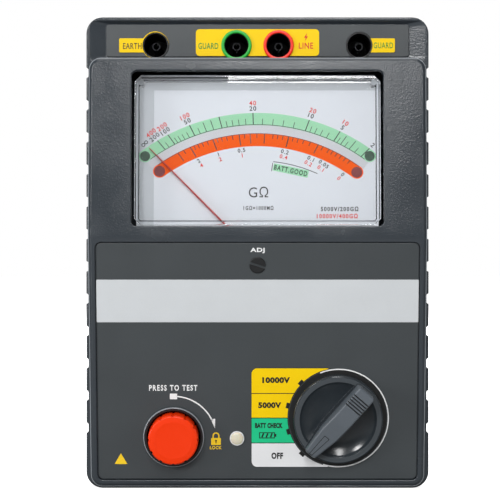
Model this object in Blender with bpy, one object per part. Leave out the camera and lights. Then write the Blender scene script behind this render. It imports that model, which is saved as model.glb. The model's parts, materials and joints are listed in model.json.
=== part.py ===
"""Handheld high-voltage insulation resistance tester, an assembly of separate pieces.

The pieces are modelled on the bench, lying on their back: x to the right, y up the face from the
bottom end, z towards the user. One empty then stands the whole tester on its bottom end, so that
in the world +Z is up, the face looks along -Y, and the origin is the middle of the bottom end.
Sizes below are millimetres.
"""

import math

import bmesh
import bpy
from mathutils import Matrix, Vector

MM = 0.001
GAP = 0.3

# Rear case
CASE_HALF = 72.7
CASE_HEIGHT = 200.0
CASE_CORNER = 7.0
CASE_BACK = -38.0
CASE_DRAFT = 2.0
BACK_CHAMFER = 3.0
RIM = 16.0
RIM_CHAMFER = 0.7
CAVITY_HALF = 69.3
CAVITY_BOTTOM = 3.4
BACK_WALL = 2.5
SHELF_BOTTOM = 178.7
SHELF_UNDER = 12.0
GRIP_COUNT = 12
GRIP_PITCH = 13.7
GRIP_FIRST = 23.5
GRIP_WIDTH = 4.2
GRIP_DEPTH = 0.9

# Front cover: a shallow roof of two planes that meet at the ridge
COVER_HALF = 70.3
COVER_LOW = 0.0
COVER_TOP = 181.2
COVER_CORNER = 5.0
COVER_CHAMFER = 1.25
COVER_SIDE = 3.1
COVER_SKIN = 3.2
RIDGE_Y = 107.0
RIDGE_Z = 34.0
METER_FALL = 4.4 / 74.3
CONTROL_FALL = 13.0 / 105.0

# Terminals
SOCKET_Y = 188.0
SOCKET_X = {"earth": -43.3, "guard": -8.95, "line": 8.95, "guard_aux": 43.3}
SOCKET_BORE = 4.9
SLEEVE_RADIUS = 5.6
RING_INNER, RING_OUTER = 5.15, 6.45
PANEL_FLOOR = 14.2

# Meter, in the meter plane: u to the right, v up from the ridge, w out of the face
WINDOW_HALF = 51.2
WINDOW_LOW, WINDOW_TOP = 4.4, 67.0
OPENING_HALF = 52.4
OPENING_LOW, OPENING_TOP = 4.0, 68.9
DIAL_FACE = -10.8
PIVOT_V = -8.5
POINTER_LENGTH = 64.8
POINTER_REST = 44.7
CORE_RADIUS = 7.4
BORE_RADIUS = 10.3

# Controls, in the control plane: the same u and w, v down from the ridge is negative
ZERO_V = -12.4
PIN_RADIUS, PIN_OFFSET = 0.4, 0.25
PANEL_HALF = 67.4
PANEL_LOW, PANEL_TOP = -103.7, -2.8
POCKET = 1.8
PANEL_FACE = -0.6
STRIP_LOW, STRIP_TOP = -36.4, -18.5
BUTTON = (-35.2, -85.2)
CAP_RADIUS = 10.65
BEZEL_INNER, BEZEL_OUTER = 11.2, 12.8
PRESS = 4.0
LED = (-8.6, -85.8)
KNOB = (33.7, -77.0)
LABEL_LEFT, LABEL_HALF = -2.6, 21.25
SKIRT_RADIUS = 18.7
SKIRT_TOP = 4.0
DISH_RADIUS = 15.9
GRIP_TOP = 13.74
KNOB_REST = 229.0

# Back
BATTERY_HALF = 54.0
BATTERY_LOW, BATTERY_TOP = 23.0, 97.0
CELL_RADIUS, CELL_LENGTH = 7.25, 49.5
CELL_Z = -26.0


def four_corners(half, low, high):
    """Named places (x, y) at the four corners of the back."""
    rows = (("bottom", low), ("top", high))
    return {f"{row}_{side}": (x, y) for row, y in rows for side, x in (("left", -half), ("right", half))}


SCREW_PLACES = four_corners(62, 12, 170)
FOOT_PLACES = four_corners(48, 9.5, 187)
FOOT_RADIUS, FOOT_END = 6.0, -40.0

FINISHES = {
    "case_plastic": ((0.085, 0.100, 0.112), 0.42, 0.0),
    "panel_plastic": ((0.045, 0.050, 0.055), 0.55, 0.0),
    "black_plastic": ((0.012, 0.012, 0.013), 0.45, 0.0),
    "knob_plastic": ((0.040, 0.042, 0.046), 0.25, 0.0),
    "yellow_film": ((1.0, 0.62, 0.0), 0.45, 0.0),
    "white_film": ((0.66, 0.69, 0.71), 0.5, 0.0),
    "green_plastic": ((0.0, 0.42, 0.05), 0.35, 0.0),
    "red_plastic": ((0.9, 0.03, 0.01), 0.35, 0.0),
    "button_plastic": ((1.0, 0.07, 0.01), 0.35, 0.0),
    "lens_plastic": ((0.75, 0.72, 0.60), 0.3, 0.0),
    "window_plastic": ((0.95, 0.97, 1.0), 0.05, 0.0),
    "dial_paint": ((0.72, 0.75, 0.79), 0.5, 0.0),
    "pointer_paint": ((0.30, 0.01, 0.02), 0.5, 0.0),
    "brass": ((0.80, 0.58, 0.25), 0.3, 1.0),
    "steel": ((0.60, 0.61, 0.62), 0.35, 1.0),
    "magnet": ((0.16, 0.16, 0.17), 0.4, 1.0),
    "copper": ((0.75, 0.28, 0.12), 0.35, 1.0),
    "board": ((0.02, 0.18, 0.06), 0.5, 0.0),
    "cell_wrap": ((0.03, 0.05, 0.16), 0.35, 0.0),
    "rubber": ((0.02, 0.02, 0.02), 0.85, 0.0),
}


def rounded_rect(x0, x1, y0, y1, radius, steps=3):
    """Outline of a rounded rectangle, counter-clockwise from the right-hand side."""
    corners = (
        (x1 - radius, y1 - radius, 0),
        (x0 + radius, y1 - radius, 90),
        (x0 + radius, y0 + radius, 180),
        (x1 - radius, y0 + radius, 270),
    )
    points = []
    for cx, cy, start in corners:
        for i in range(steps + 1):
            angle = math.radians(start + 90 * i / steps)
            points.append((cx + radius * math.cos(angle), cy + radius * math.sin(angle)))
    return points


def circle(radius, steps=24, at=(0, 0)):
    angles = [2 * math.pi * i / steps for i in range(steps)]
    return [(at[0] + radius * math.cos(a), at[1] + radius * math.sin(a)) for a in angles]


def level(outline, z):
    return [(x, y, z) for x, y in outline]


def loft(rings, tube=False):
    """A closed solid through rings of equally many points; a tube joins its last ring to its first."""
    bm = bmesh.new()
    loops = [[bm.verts.new(Vector(point) * MM) for point in ring] for ring in rings]
    count = len(loops[0])
    pairs = list(zip(loops, loops[1:]))
    if tube:
        pairs.append((loops[-1], loops[0]))
    else:
        bm.faces.new(loops[0][::-1])
        bm.faces.new(loops[-1])
    for low, high in pairs:
        for i in range(count):
            j = (i + 1) % count
            bm.faces.new((low[i], low[j], high[j], high[i]))
    return bm


def prism(outline, z0, z1):
    return loft([level(outline, z0), level(outline, z1)])


def box(x0, x1, y0, y1, z0, z1):
    return prism([(x1, y0), (x1, y1), (x0, y1), (x0, y0)], z0, z1)


def turned(profile, steps=24, tube=False, at=(0, 0)):
    """Turned about z. The profile is (radius, z) up the outside, then for a hollow piece down the inside."""
    return loft([level(circle(radius, steps, at), z) for radius, z in profile], tube)


def gathered(shapes):
    """Several separate shapes in one mesh, for a cutter that makes many cuts at once."""
    joined = bmesh.new()
    for shape in shapes:
        mesh = bpy.data.meshes.new("part")
        shape.to_mesh(mesh)
        shape.free()
        joined.from_mesh(mesh)
        bpy.data.meshes.remove(mesh)
    return joined


def frame(name, at=(0, 0, 0), tilt=0.0, parent=None):
    """An empty: its x is to the right, and it is tilted about x."""
    empty = bpy.data.objects.new(name, None)
    empty.location = Vector(at) * MM
    empty.rotation_euler.x = tilt
    empty.parent = parent
    bpy.context.scene.collection.objects.link(empty)
    return empty


def finish(name):
    if name in bpy.data.materials:
        return bpy.data.materials[name]
    colour, roughness, metallic = FINISHES[name]
    material = bpy.data.materials.new(name)
    material.use_nodes = True
    shader = material.node_tree.nodes["Principled BSDF"]
    shader.inputs["Base Color"].default_value = (*colour, 1.0)
    shader.inputs["Roughness"].default_value = roughness
    shader.inputs["Metallic"].default_value = metallic
    material.diffuse_color = (*colour, 1.0)
    return material


def piece(name, shape, material, parent, at=(0, 0, 0), turn=0.0):
    """A named sub-part. Its origin is at `at` in its parent's frame, and `turn` degrees is its turn about z."""
    mesh = bpy.data.meshes.new(name)
    shape.to_mesh(mesh)
    shape.free()
    mesh.shade_smooth()
    mesh.set_sharp_from_angle(angle=math.radians(35))
    mesh.materials.append(finish(material))
    obj = bpy.data.objects.new(name, mesh)
    obj.parent = parent
    obj.location = Vector(at) * MM
    obj.rotation_euler.z = math.radians(turn)
    bpy.context.scene.collection.objects.link(obj)
    return obj


def combine(target, shape, parent=None, at=(0, 0, 0), turn=0.0, operation="DIFFERENCE"):
    """Cuts the shape from the target, or joins it on, in the frame of a parent or of the target itself."""
    mesh = bpy.data.meshes.new(f"{target.name}_tool")
    shape.to_mesh(mesh)
    shape.free()
    tool = bpy.data.objects.new(mesh.name, mesh)
    tool.hide_render = True
    tool.display_type = "WIRE"
    tool.parent = parent or target
    tool.location = Vector(at) * MM
    tool.rotation_euler.z = math.radians(turn)
    bpy.context.scene.collection.objects.link(tool)
    modifier = target.modifiers.new(operation.title(), "BOOLEAN")
    modifier.operation = operation
    modifier.solver = "EXACT"
    modifier.object = tool


def join(target, shape, **placed):
    combine(target, shape, operation="UNION", **placed)


def roof(y):
    """Height of the front cover's outer surface."""
    return RIDGE_Z - (METER_FALL * (y - RIDGE_Y) if y > RIDGE_Y else CONTROL_FALL * (RIDGE_Y - y))


def roofed(outline, z0, depth, chamfer):
    """A solid from z0 up to `depth` under the roof, chamfered at its top edge."""
    half = max(x for x, _ in outline)
    low, high = min(y for _, y in outline), max(y for _, y in outline)
    middle = (low + high) / 2
    outline = list(outline)
    steps = len(outline) // 4
    outline.insert(2 * steps, (-half, RIDGE_Y))
    outline.append((half, RIDGE_Y))
    inset = [
        (x * (half - chamfer) / half, middle + (y - middle) * ((high - low) / 2 - chamfer) / ((high - low) / 2))
        if y != RIDGE_Y
        else (math.copysign(half - chamfer, x), y)
        for x, y in outline
    ]
    rings = [
        level(outline, z0),
        [(x, y, roof(y) - depth - chamfer) for x, y in outline],
        [(x, y, roof(y) - depth) for x, y in inset],
    ]
    bm = loft(rings)
    bm.verts.ensure_lookup_table()
    bm.faces.ensure_lookup_table()
    count = len(outline)
    cap = bm.faces[1]
    left, right = bm.verts[2 * count + 2 * steps], bm.verts[3 * count - 1]
    bmesh.utils.face_split(cap, left, right)
    return bm


def rear_case(bench):
    """A drafted tub with a shelf across its top end, finger grooves down both sides and a battery opening."""
    tucked = CASE_HALF - CASE_DRAFT
    side = rounded_rect(-tucked, tucked, 0, CASE_HEIGHT - 1, CASE_CORNER)
    c = BACK_CHAMFER
    back = rounded_rect(-tucked + c, tucked - c, c, CASE_HEIGHT - 1 - c, CASE_CORNER - 2)
    full = rounded_rect(-CASE_HALF, CASE_HALF, 0, CASE_HEIGHT, CASE_CORNER)
    c = RIM_CHAMFER
    rim = rounded_rect(-CASE_HALF + c, CASE_HALF - c, c, CASE_HEIGHT - c, CASE_CORNER - c)
    shell = [level(back, CASE_BACK), level(side, CASE_BACK + BACK_CHAMFER)]
    shell += [level(full, RIM - c), level(rim, RIM)]
    case = piece("rear_case", loft(shell), "case_plastic", bench)

    floor_z = CASE_BACK + BACK_WALL
    floor = rounded_rect(-CAVITY_HALF + 2, CAVITY_HALF - 2, CAVITY_BOTTOM, CASE_HEIGHT - 4, 5)
    mouth = rounded_rect(-CAVITY_HALF, CAVITY_HALF, CAVITY_BOTTOM, CASE_HEIGHT - 3, 5)
    combine(case, loft([level(floor, floor_z), level(mouth, SHELF_UNDER)]))
    opening = rounded_rect(-CAVITY_HALF, CAVITY_HALF, CAVITY_BOTTOM, SHELF_BOTTOM, 5)
    combine(case, prism(opening, SHELF_UNDER - 1, RIM + 1))

    columns = [prism(circle(5, 16, at), floor_z - 1, 0) for at in SCREW_PLACES.values()]
    join(case, gathered(columns))
    counterbores = [turned([(3.6, -39), (3.6, -20)], 16, at=at) for at in SCREW_PLACES.values()]
    combine(case, gathered(counterbores))
    bores = [turned([(1.8, -21), (1.8, 1)], 16, at=at) for at in SCREW_PLACES.values()]
    seat = FOOT_RADIUS + 2 * GAP
    feet = [turned([(seat, -39), (seat, -37.2)], 16, at=at) for at in FOOT_PLACES.values()]
    battery = prism(rounded_rect(-BATTERY_HALF, BATTERY_HALF, BATTERY_LOW, BATTERY_TOP, 3), -39, -35)
    combine(case, gathered(bores + feet + [battery]))

    low = rounded_rect(-64.5, 64.5, 182.9, 197.1, 1.2)
    high = rounded_rect(-CASE_HALF + 1.5, CASE_HALF - 1.5, SHELF_BOTTOM + 2.4, CASE_HEIGHT - 1.5, 2.2)
    combine(case, loft([level(low, PANEL_FLOOR), level(high, RIM), level(high, RIM + 1)]))
    holes = [turned([(5.9, 10), (5.9, 15)], 20, at=(x, SOCKET_Y)) for x in SOCKET_X.values()]
    combine(case, gathered(holes))

    combine(case, gathered(grip_grooves()))
    return case


def grip_grooves():
    """Cutters for the finger grooves, which keep one depth down the drafted sides."""
    back, front = -28.0, RIM + 1
    draft = CASE_DRAFT / (RIM - RIM_CHAMFER - CASE_BACK - BACK_CHAMFER)
    cutters = []
    for side in (-1, 1):
        for i in range(GRIP_COUNT):
            low = GRIP_FIRST + i * GRIP_PITCH
            rings = []
            for z in (back, front):
                deep = CASE_HALF - GRIP_DEPTH - draft * (RIM - z)
                ends = [(side * deep, low), (side * (deep + 3), low)]
                ends += [(side * (deep + 3), low + GRIP_WIDTH), (side * deep, low + GRIP_WIDTH)]
                rings.append(level(ends[::side], z))
            cutters.append(loft(rings))
    return cutters


def front_cover(bench, meter, control):
    """The roof-shaped front shell: meter opening above the ridge, pocket for the control panel below it."""
    outline = rounded_rect(-COVER_HALF, COVER_HALF, COVER_LOW, COVER_TOP, COVER_CORNER)
    cover = piece("front_cover", roofed(outline, RIM + GAP, 0, COVER_CHAMFER), "case_plastic", bench)
    tongue = rounded_rect(-CAVITY_HALF + GAP, CAVITY_HALF - GAP, CAVITY_BOTTOM + GAP, SHELF_BOTTOM - GAP, 4.7)
    join(cover, prism(tongue, 12.5, RIM + 2))
    hollow_half = COVER_HALF - COVER_SIDE
    hollow = rounded_rect(-hollow_half, hollow_half, COVER_LOW + 5.5, COVER_TOP - 4.5, 3)
    combine(cover, roofed(hollow, 10, COVER_SKIN, 0.5))

    posts = [prism(circle(3.8, 16, at), GAP, roof(at[1]) - 2) for at in SCREW_PLACES.values()]
    join(cover, gathered(posts))
    pilots = [turned([(1.8, -1), (1.8, 15)], 16, at=at) for at in SCREW_PLACES.values()]
    combine(cover, gathered(pilots))

    opening = rounded_rect(-OPENING_HALF, OPENING_HALF, OPENING_LOW, OPENING_TOP, 2.3)
    combine(cover, prism(opening, -8, 3), parent=meter)
    pocket = rounded_rect(-PANEL_HALF, PANEL_HALF, PANEL_LOW, PANEL_TOP, 2.5)
    combine(cover, prism(pocket, -POCKET, 3), parent=control)
    combine(cover, gathered(control_holes()), parent=control)
    return cover


def control_holes():
    return [
        turned([(3.7, -9), (3.7, 4)], 16, at=(0, ZERO_V)),
        turned([(12.0, -9), (12.0, 4)], 28, at=BUTTON),
        turned([(3.4, -9), (3.4, 4)], 16, at=LED),
        turned([(4.5, -9), (4.5, 4)], 16, at=KNOB),
    ]


def terminals(bench):
    plate = rounded_rect(-64.2, 64.2, 183.2, 196.8, 0.9)
    panel = piece("terminal_panel", prism(plate, PANEL_FLOOR + 0.2, 15.2), "panel_plastic", bench)
    combine(panel, gathered([turned([(5.9, 14), (5.9, 16)], 20, at=(x, SOCKET_Y)) for x in SOCKET_X.values()]))

    plate = rounded_rect(-26.2, 26.2, 183.5, 194.9, 1.6)
    middle = piece("line_guard_label", prism(plate, 15.3, 15.5), "yellow_film", bench)
    rings_at = [(SOCKET_X[name], SOCKET_Y) for name in ("guard", "line")]
    combine(middle, gathered([turned([(5.3, 15), (5.3, 16)], 20, at=at) for at in rings_at]))
    outer_labels = (("earth", "earth_label", -58.8, -46.9), ("guard_aux", "guard_label", 47.9, 58.4))
    for name, label_name, x0, x1 in outer_labels:
        plate = prism(rounded_rect(x0, x1, 185.0, 191.0, 0.8), 15.3, 15.5)
        label = piece(label_name, plate, "yellow_film", bench)
        combine(label, turned([(6.0, 15), (6.0, 16)], 20, at=(SOCKET_X[name], SOCKET_Y)))

    ring = [(RING_INNER, 15.6), (RING_OUTER, 15.6), (RING_OUTER, 16.2), (6.2, 16.5), (RING_INNER, 16.5)]
    for name, material in (("guard", "green_plastic"), ("line", "red_plastic")):
        shape = turned(ring, 24, tube=True)
        piece(f"{name}_ring", shape, material, bench, at=(SOCKET_X[name], SOCKET_Y, 0))

    sleeve = [
        (2.1, -14), (SLEEVE_RADIUS, -14), (SLEEVE_RADIUS, 9.7), (7.0, 9.7), (7.0, 11.7), (SLEEVE_RADIUS, 11.7),
        (SLEEVE_RADIUS, 15.1), (SOCKET_BORE, 15.1), (SOCKET_BORE, -11), (2.1, -11),
    ]
    contact = [(1.8, -18), (1.8, 10.5), (1.2, 10.5), (1.2, -6)]
    for name, x in SOCKET_X.items():
        piece(f"{name}_socket", turned(sleeve, 16, tube=True), "black_plastic", bench, at=(x, SOCKET_Y, 0))
        piece(f"{name}_contact", turned(contact, 10), "brass", bench, at=(x, SOCKET_Y, 0))


def meter_case(meter):
    """The clear window box, the printed dial and the moulded base that the movement sits in."""
    outer = rounded_rect(-WINDOW_HALF, WINDOW_HALF, WINDOW_LOW, WINDOW_TOP, 1.2, 1)
    window = piece("meter_window", prism(outer, DIAL_FACE + GAP, -0.4), "window_plastic", meter)
    wall = 1.6
    inner = rounded_rect(-WINDOW_HALF + wall, WINDOW_HALF - wall, WINDOW_LOW + wall, WINDOW_TOP - wall, 2.5, 1)
    combine(window, prism(inner, -12, -2.4))
    combine(window, box(-WINDOW_HALF + wall, WINDOW_HALF - wall, 3, 8, -12, -4.6))

    dial = rounded_rect(-50.9, 50.9, -3.5, WINDOW_TOP - GAP, 1.0, 1)
    piece("dial_plate", prism(dial, DIAL_FACE - 0.8, DIAL_FACE), "dial_paint", meter)

    tub = rounded_rect(-WINDOW_HALF, WINDOW_HALF, -23.5, WINDOW_TOP, 2.0, 1)
    base = piece("meter_base", prism(tub, -27.7, DIAL_FACE - 1.1), "black_plastic", meter)
    room = rounded_rect(-WINDOW_HALF + 1.5, WINDOW_HALF - 1.5, -22.0, WINDOW_TOP - 1.5, 1.5, 1)
    combine(base, prism(room, -26.2, 0))


def movement(meter):
    """Magnet and core, and the coil, staff and pointer that swing in the gap between them."""
    pivot = (0, PIVOT_V, 0)
    yoke = piece("magnet_yoke", box(-17.5, 17.5, -12.8, 12.8, -24.5, -14.5), "magnet", meter, at=pivot)
    combine(yoke, turned([(BORE_RADIUS, -26), (BORE_RADIUS, -12)], 24))
    core_shape = turned([(CORE_RADIUS, -24.2), (CORE_RADIUS, -15.0)], 24)
    core = piece("magnet_core", core_shape, "steel", meter, at=pivot)
    join(core, box(-1.5, 1.5, -BORE_RADIUS + GAP, BORE_RADIUS - GAP, -21.0, -18.5))
    combine(core, turned([(1.0, -26), (1.0, -12)], 12))

    coil_shape = box(-9.7, 9.7, -2, 2, -25.9, -13.1)
    coil = piece("moving_coil", coil_shape, "copper", meter, at=pivot, turn=POINTER_REST)
    combine(coil, box(-8.1, 8.1, -3, 3, -24.7, -14.5))
    combine(coil, turned([(0.8, -27), (0.8, -12)], 12))
    piece("pivot_staff", turned([(0.6, -26.0), (0.6, -6.2)], 12), "steel", meter, at=pivot)

    tail, half_tip, half_root = -12.0, 0.25, 0.55
    needle = [(-half_root, tail), (half_root, tail), (half_tip, POINTER_LENGTH), (-half_tip, POINTER_LENGTH)]
    low, high = -9.2, -8.6
    pointer = piece("pointer", prism(needle, low, high), "pointer_paint", meter, at=pivot, turn=POINTER_REST)
    join(pointer, turned([(2.2, low - 0.4), (2.2, high + 0.4)], 16))
    join(pointer, box(-1.3, 1.3, tail - 1, tail + 3, low - 0.3, high + 0.3))
    combine(pointer, turned([(0.75, -12), (0.75, -6)], 12))


def zero_adjuster(meter, control):
    """A slotted screw whose off-centre pin works the forked lever on the pivot."""
    lever = piece("zero_lever", turned([(2.6, -7.0), (2.6, -6.4)], 16), "brass", meter, at=(0, PIVOT_V, 0))
    join(lever, box(-1.6, 1.6, -4.9, 7.0, -7.0, -6.4))
    combine(lever, turned([(0.9, -8), (0.9, -5)], 12))
    slot = PIN_RADIUS + 0.2
    combine(lever, box(-slot, slot, -6, -2.0, -8, -5))

    screw = piece("zero_screw", turned([(2.4, -3.7), (2.4, -1.5), (3.4, -1.5), (3.4, -0.3), (3.1, 0.0)]),
                  "black_plastic", control, at=(0, ZERO_V, 0))
    join(screw, turned([(PIN_RADIUS, -5.6), (PIN_RADIUS, -3.0)], 8, at=(0, -PIN_OFFSET)))
    combine(screw, box(-4, 4, -0.45, 0.45, -0.8, 1), turn=-18)


def control_face(control):
    plate = rounded_rect(-PANEL_HALF + GAP, PANEL_HALF - GAP, PANEL_LOW + GAP, PANEL_TOP - GAP, 2.2)
    panel = piece("control_panel", prism(plate, -POCKET + GAP, PANEL_FACE), "panel_plastic", control)
    combine(panel, gathered(control_holes()))
    strip = rounded_rect(-PANEL_HALF + 0.4, PANEL_HALF - 0.4, STRIP_LOW, STRIP_TOP, 0.3, 1)
    piece("name_strip", prism(strip, PANEL_FACE + 0.1, PANEL_FACE + 0.35), "white_film", control)
    left, right = LABEL_LEFT, KNOB[0] + 3
    outline = rounded_rect(left, right, KNOB[1] - LABEL_HALF, KNOB[1] + LABEL_HALF, 2.6)
    scale = piece("range_label", prism(outline, PANEL_FACE + 0.1, PANEL_FACE + 0.35), "white_film", control)
    combine(scale, turned([(LABEL_HALF - 0.6, -2), (LABEL_HALF - 0.6, 2)], 32, at=KNOB))
    combine(scale, box(right - 8, right + 1, KNOB[1] - 30, KNOB[1] + 30, -2, 2))
    lens = [(4.2, -4.7), (4.2, -3.5), (3.05, -3.5), (3.05, -0.1), (2.3, 0.5), (1.0, 0.75)]
    piece("led_lens", turned(lens, 16), "lens_plastic", control, at=(*LED, 0))


def test_button(control):
    """A cap that is pushed in against a spring and then turned to lock; its plunger works the switch."""
    at = (*BUTTON, 0)
    bezel = [
        (BEZEL_INNER, -4.4), (11.7, -4.4), (11.7, -0.5), (BEZEL_OUTER, -0.5), (BEZEL_OUTER, 0.3), (12.4, 0.8),
        (BEZEL_INNER, 0.8),
    ]
    piece("button_bezel", turned(bezel, 28, tube=True), "black_plastic", control, at=at)
    side = [(CAP_RADIUS, -2.0), (CAP_RADIUS, 5.0), (CAP_RADIUS - 1.1, 6.1), (CAP_RADIUS - 3, 6.3)]
    cap = piece("button_cap", turned(side, 36), "button_plastic", control, at=at)
    notches = [turned([(0.7, -3), (0.7, 8)], 6, at=point) for point in circle(CAP_RADIUS, 12)]
    combine(cap, gathered(notches))
    piece("button_plunger", turned([(3.0, -16.0), (3.0, -3.4), (7.5, -3.4), (7.5, -2.4)], 16), "black_plastic",
          control, at=at)
    switch = piece("button_switch", box(-8, 8, -8, 8, -22, -13), "black_plastic", control, at=at)
    combine(switch, turned([(3.4, -16.6 - PRESS), (3.4, -10)], 16))
    piece("button_spring", coil_spring(5.0, 0.45, -12.1, -4.3, 4), "steel", control, at=at)


def coil_spring(radius, wire, z0, z1, turns, per_turn=12, around=5):
    """A helix of round wire."""
    rings = []
    slope = math.atan2((z1 - z0) / turns, 2 * math.pi * radius)
    for i in range(turns * per_turn + 1):
        angle = 2 * math.pi * i / per_turn
        z = z0 + (z1 - z0) * i / (turns * per_turn)
        centre = Vector((radius * math.cos(angle), radius * math.sin(angle), z))
        outward = Vector((math.cos(angle), math.sin(angle), 0))
        across = Matrix.Rotation(slope, 3, outward) @ Vector((0, 0, 1))
        spokes = [2 * math.pi * k / around for k in range(around)]
        rings.append([centre + wire * (math.cos(a) * outward + math.sin(a) * across) for a in spokes][::-1])
    return loft(rings)


def selector(control):
    """Pointer knob on the shaft of a rotary switch."""
    at = (*KNOB, 0)
    dish = [(DISH_RADIUS, SKIRT_TOP), (DISH_RADIUS - 0.6, 3.0), (13.0, 1.9), (9.0, 1.4)]
    rim = [(SKIRT_RADIUS, -0.2), (SKIRT_RADIUS, SKIRT_TOP - 0.5), (SKIRT_RADIUS - 0.5, SKIRT_TOP)]
    knob = piece("selector_knob", turned(rim + dish, 32), "knob_plastic", control, at=at, turn=KNOB_REST)
    half, tail, shoulder, tip, half_tip = 4.1, -17.6, 9.5, 18.4, 2.5
    foot = [(tail, -half), (shoulder, -half), (tip, -half_tip), (tip, half_tip), (shoulder, half), (tail, half)]
    edge = [(x * 0.985, y * 0.9) for x, y in foot]
    top = [(x * 0.96, y * 0.78) for x, y in foot]
    join(knob, loft([level(foot, 1.0), level(edge, GRIP_TOP - 0.8), level(top, GRIP_TOP)]))
    combine(knob, turned([(3.3, -1), (3.3, 8.3)], 16))
    piece("selector_shaft", turned([(3.0, -19.5), (3.0, 8.0)], 16), "steel", control, at=at)
    wafer = turned([(13.0, -21.5), (13.0, -9.0)], 20)
    switch = piece("selector_switch", wafer, "black_plastic", control, at=at)
    combine(switch, turned([(3.3, -20), (3.3, -8)], 16))


def electronics(bench):
    piece("main_board", box(-56, 56, 8, 104, -1.6, 0), "board", bench)
    piece("hv_transformer", prism(rounded_rect(-52, -24, 48, 72, 2), GAP, 18), "copper", bench)
    piece("hv_module", prism(rounded_rect(-12, 46, 58, 78, 1.5), GAP, 15), "black_plastic", bench)


def batteries(bench):
    """A tray of eight cells behind a lift-off cover with one captive screw."""
    tray = piece("battery_tray", box(-57, 57, 20, 100, -35.2, -14), "black_plastic", bench)
    combine(tray, box(-52.5, 52.5, 25, 87, -36, -16))
    combine(tray, turned([(1.7, -36), (1.7, -20)], 12, at=(0, 92)))
    pitch = 15.5
    profile = [(CELL_RADIUS, 0), (CELL_RADIUS, CELL_LENGTH), (2.75, CELL_LENGTH), (2.75, CELL_LENGTH + 1)]
    for row in range(4):
        for column in range(2):
            name = f"cell_{row * 2 + column + 1}"
            cell = turned(profile, 12)
            cell.transform(Matrix.Rotation(math.radians(90), 4, "Y"))
            flip = (row + column) % 2
            start = (-51.6, 0.6)[column] + (CELL_LENGTH + 1 if flip else 0)
            piece(name, cell, "cell_wrap", bench, at=(start, 32.75 + row * pitch, CELL_Z), turn=180 * flip)

    edge = 0.4
    lid = rounded_rect(-BATTERY_HALF + edge, BATTERY_HALF - edge, BATTERY_LOW + edge, BATTERY_TOP - edge, 2.6)
    cover = piece("battery_cover", prism(lid, CASE_BACK, -35.7), "case_plastic", bench)
    combine(cover, turned([(3.4, -39), (3.4, -36.4)], 20, at=(0, 92)))
    combine(cover, turned([(1.7, -39), (1.7, -35)], 12, at=(0, 92)))
    captive = turned([(3.0, -38), (3.0, -36.7), (1.4, -36.7), (1.4, -24)], 16)
    piece("battery_cover_screw", captive, "steel", bench, at=(0, 92, 0))


def fasteners_and_feet(bench):
    for where, at in SCREW_PLACES.items():
        shape = turned([(3.1, -22.9), (3.1, -20.3), (1.5, -20.3), (1.5, 13)], 16)
        piece(f"case_screw_{where}", shape, "steel", bench, at=(*at, 0))
    for where, at in FOOT_PLACES.items():
        shape = turned([(5.3, FOOT_END), (FOOT_RADIUS, FOOT_END + 0.7), (FOOT_RADIUS, -37.5)], 16)
        piece(f"foot_{where}", shape, "rubber", bench, at=(*at, 0))


def main():
    for old in list(bpy.data.objects):
        bpy.data.objects.remove(old, do_unlink=True)
    bench = frame("bench", tilt=math.radians(90))
    ridge = (0, RIDGE_Y, RIDGE_Z)
    meter = frame("meter_plane", ridge, -math.atan(METER_FALL), bench)
    control = frame("control_plane", ridge, math.atan(CONTROL_FALL), bench)
    rear_case(bench)
    front_cover(bench, meter, control)
    terminals(bench)
    meter_case(meter)
    movement(meter)
    zero_adjuster(meter, control)
    control_face(control)
    test_button(control)
    selector(control)
    electronics(bench)
    batteries(bench)
    fasteners_and_feet(bench)


main()
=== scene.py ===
"""The looks of the insulation resistance tester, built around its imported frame.

Shapes are given in millimetres on three planes that the frame fixes:
  BENCH    x to the right, y up from the bottom end, z out of the face;
  CONTROL  u to the right, v up from the ridge, w out of the face, on the lower half of the roof-shaped cover;
  METER    the same on its upper half.
"""

import collections
import json
import math

import bmesh
import bpy
from mathutils import Matrix, Vector

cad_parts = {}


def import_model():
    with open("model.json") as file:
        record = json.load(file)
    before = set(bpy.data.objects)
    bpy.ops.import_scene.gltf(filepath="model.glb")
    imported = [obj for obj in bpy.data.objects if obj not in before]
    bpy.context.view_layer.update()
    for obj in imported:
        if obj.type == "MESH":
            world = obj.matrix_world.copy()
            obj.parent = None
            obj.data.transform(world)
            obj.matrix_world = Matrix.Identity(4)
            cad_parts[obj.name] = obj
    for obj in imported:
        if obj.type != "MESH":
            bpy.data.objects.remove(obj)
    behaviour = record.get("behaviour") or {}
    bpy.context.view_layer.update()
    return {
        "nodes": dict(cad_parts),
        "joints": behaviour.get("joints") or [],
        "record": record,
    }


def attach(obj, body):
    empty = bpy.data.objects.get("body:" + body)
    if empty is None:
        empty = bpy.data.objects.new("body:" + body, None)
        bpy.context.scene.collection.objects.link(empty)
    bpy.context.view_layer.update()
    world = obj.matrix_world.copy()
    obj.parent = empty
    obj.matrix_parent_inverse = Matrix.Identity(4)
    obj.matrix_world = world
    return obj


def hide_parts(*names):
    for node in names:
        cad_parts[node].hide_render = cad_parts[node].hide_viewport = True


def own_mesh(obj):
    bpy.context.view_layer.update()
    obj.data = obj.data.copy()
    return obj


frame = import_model()

MM = 0.001
JOINTS = {joint["name"]: joint for joint in frame["joints"]}
SLOTS = {part["node"]: part["material_slot"] for part in frame["record"]["subparts"]}
Area = collections.namedtuple("Area", "x0 x1 y0 y1 radius")
Extent = collections.namedtuple("Extent", "x0 x1 y0 y1 z0 z1")

BENCH = Matrix(((1, 0, 0, 0), (0, 0, -1, 0), (0, 1, 0, 0), (0, 0, 0, 1))) @ Matrix.Scale(MM, 4)


# The planes of the face, from the axes of the joints on them

def tilt_of(joint):
    """Turn about x that brings the bench's z onto a joint's outward axis."""
    axis = JOINTS[joint]["axis"]
    return math.atan2(axis[2], axis[1])


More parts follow.
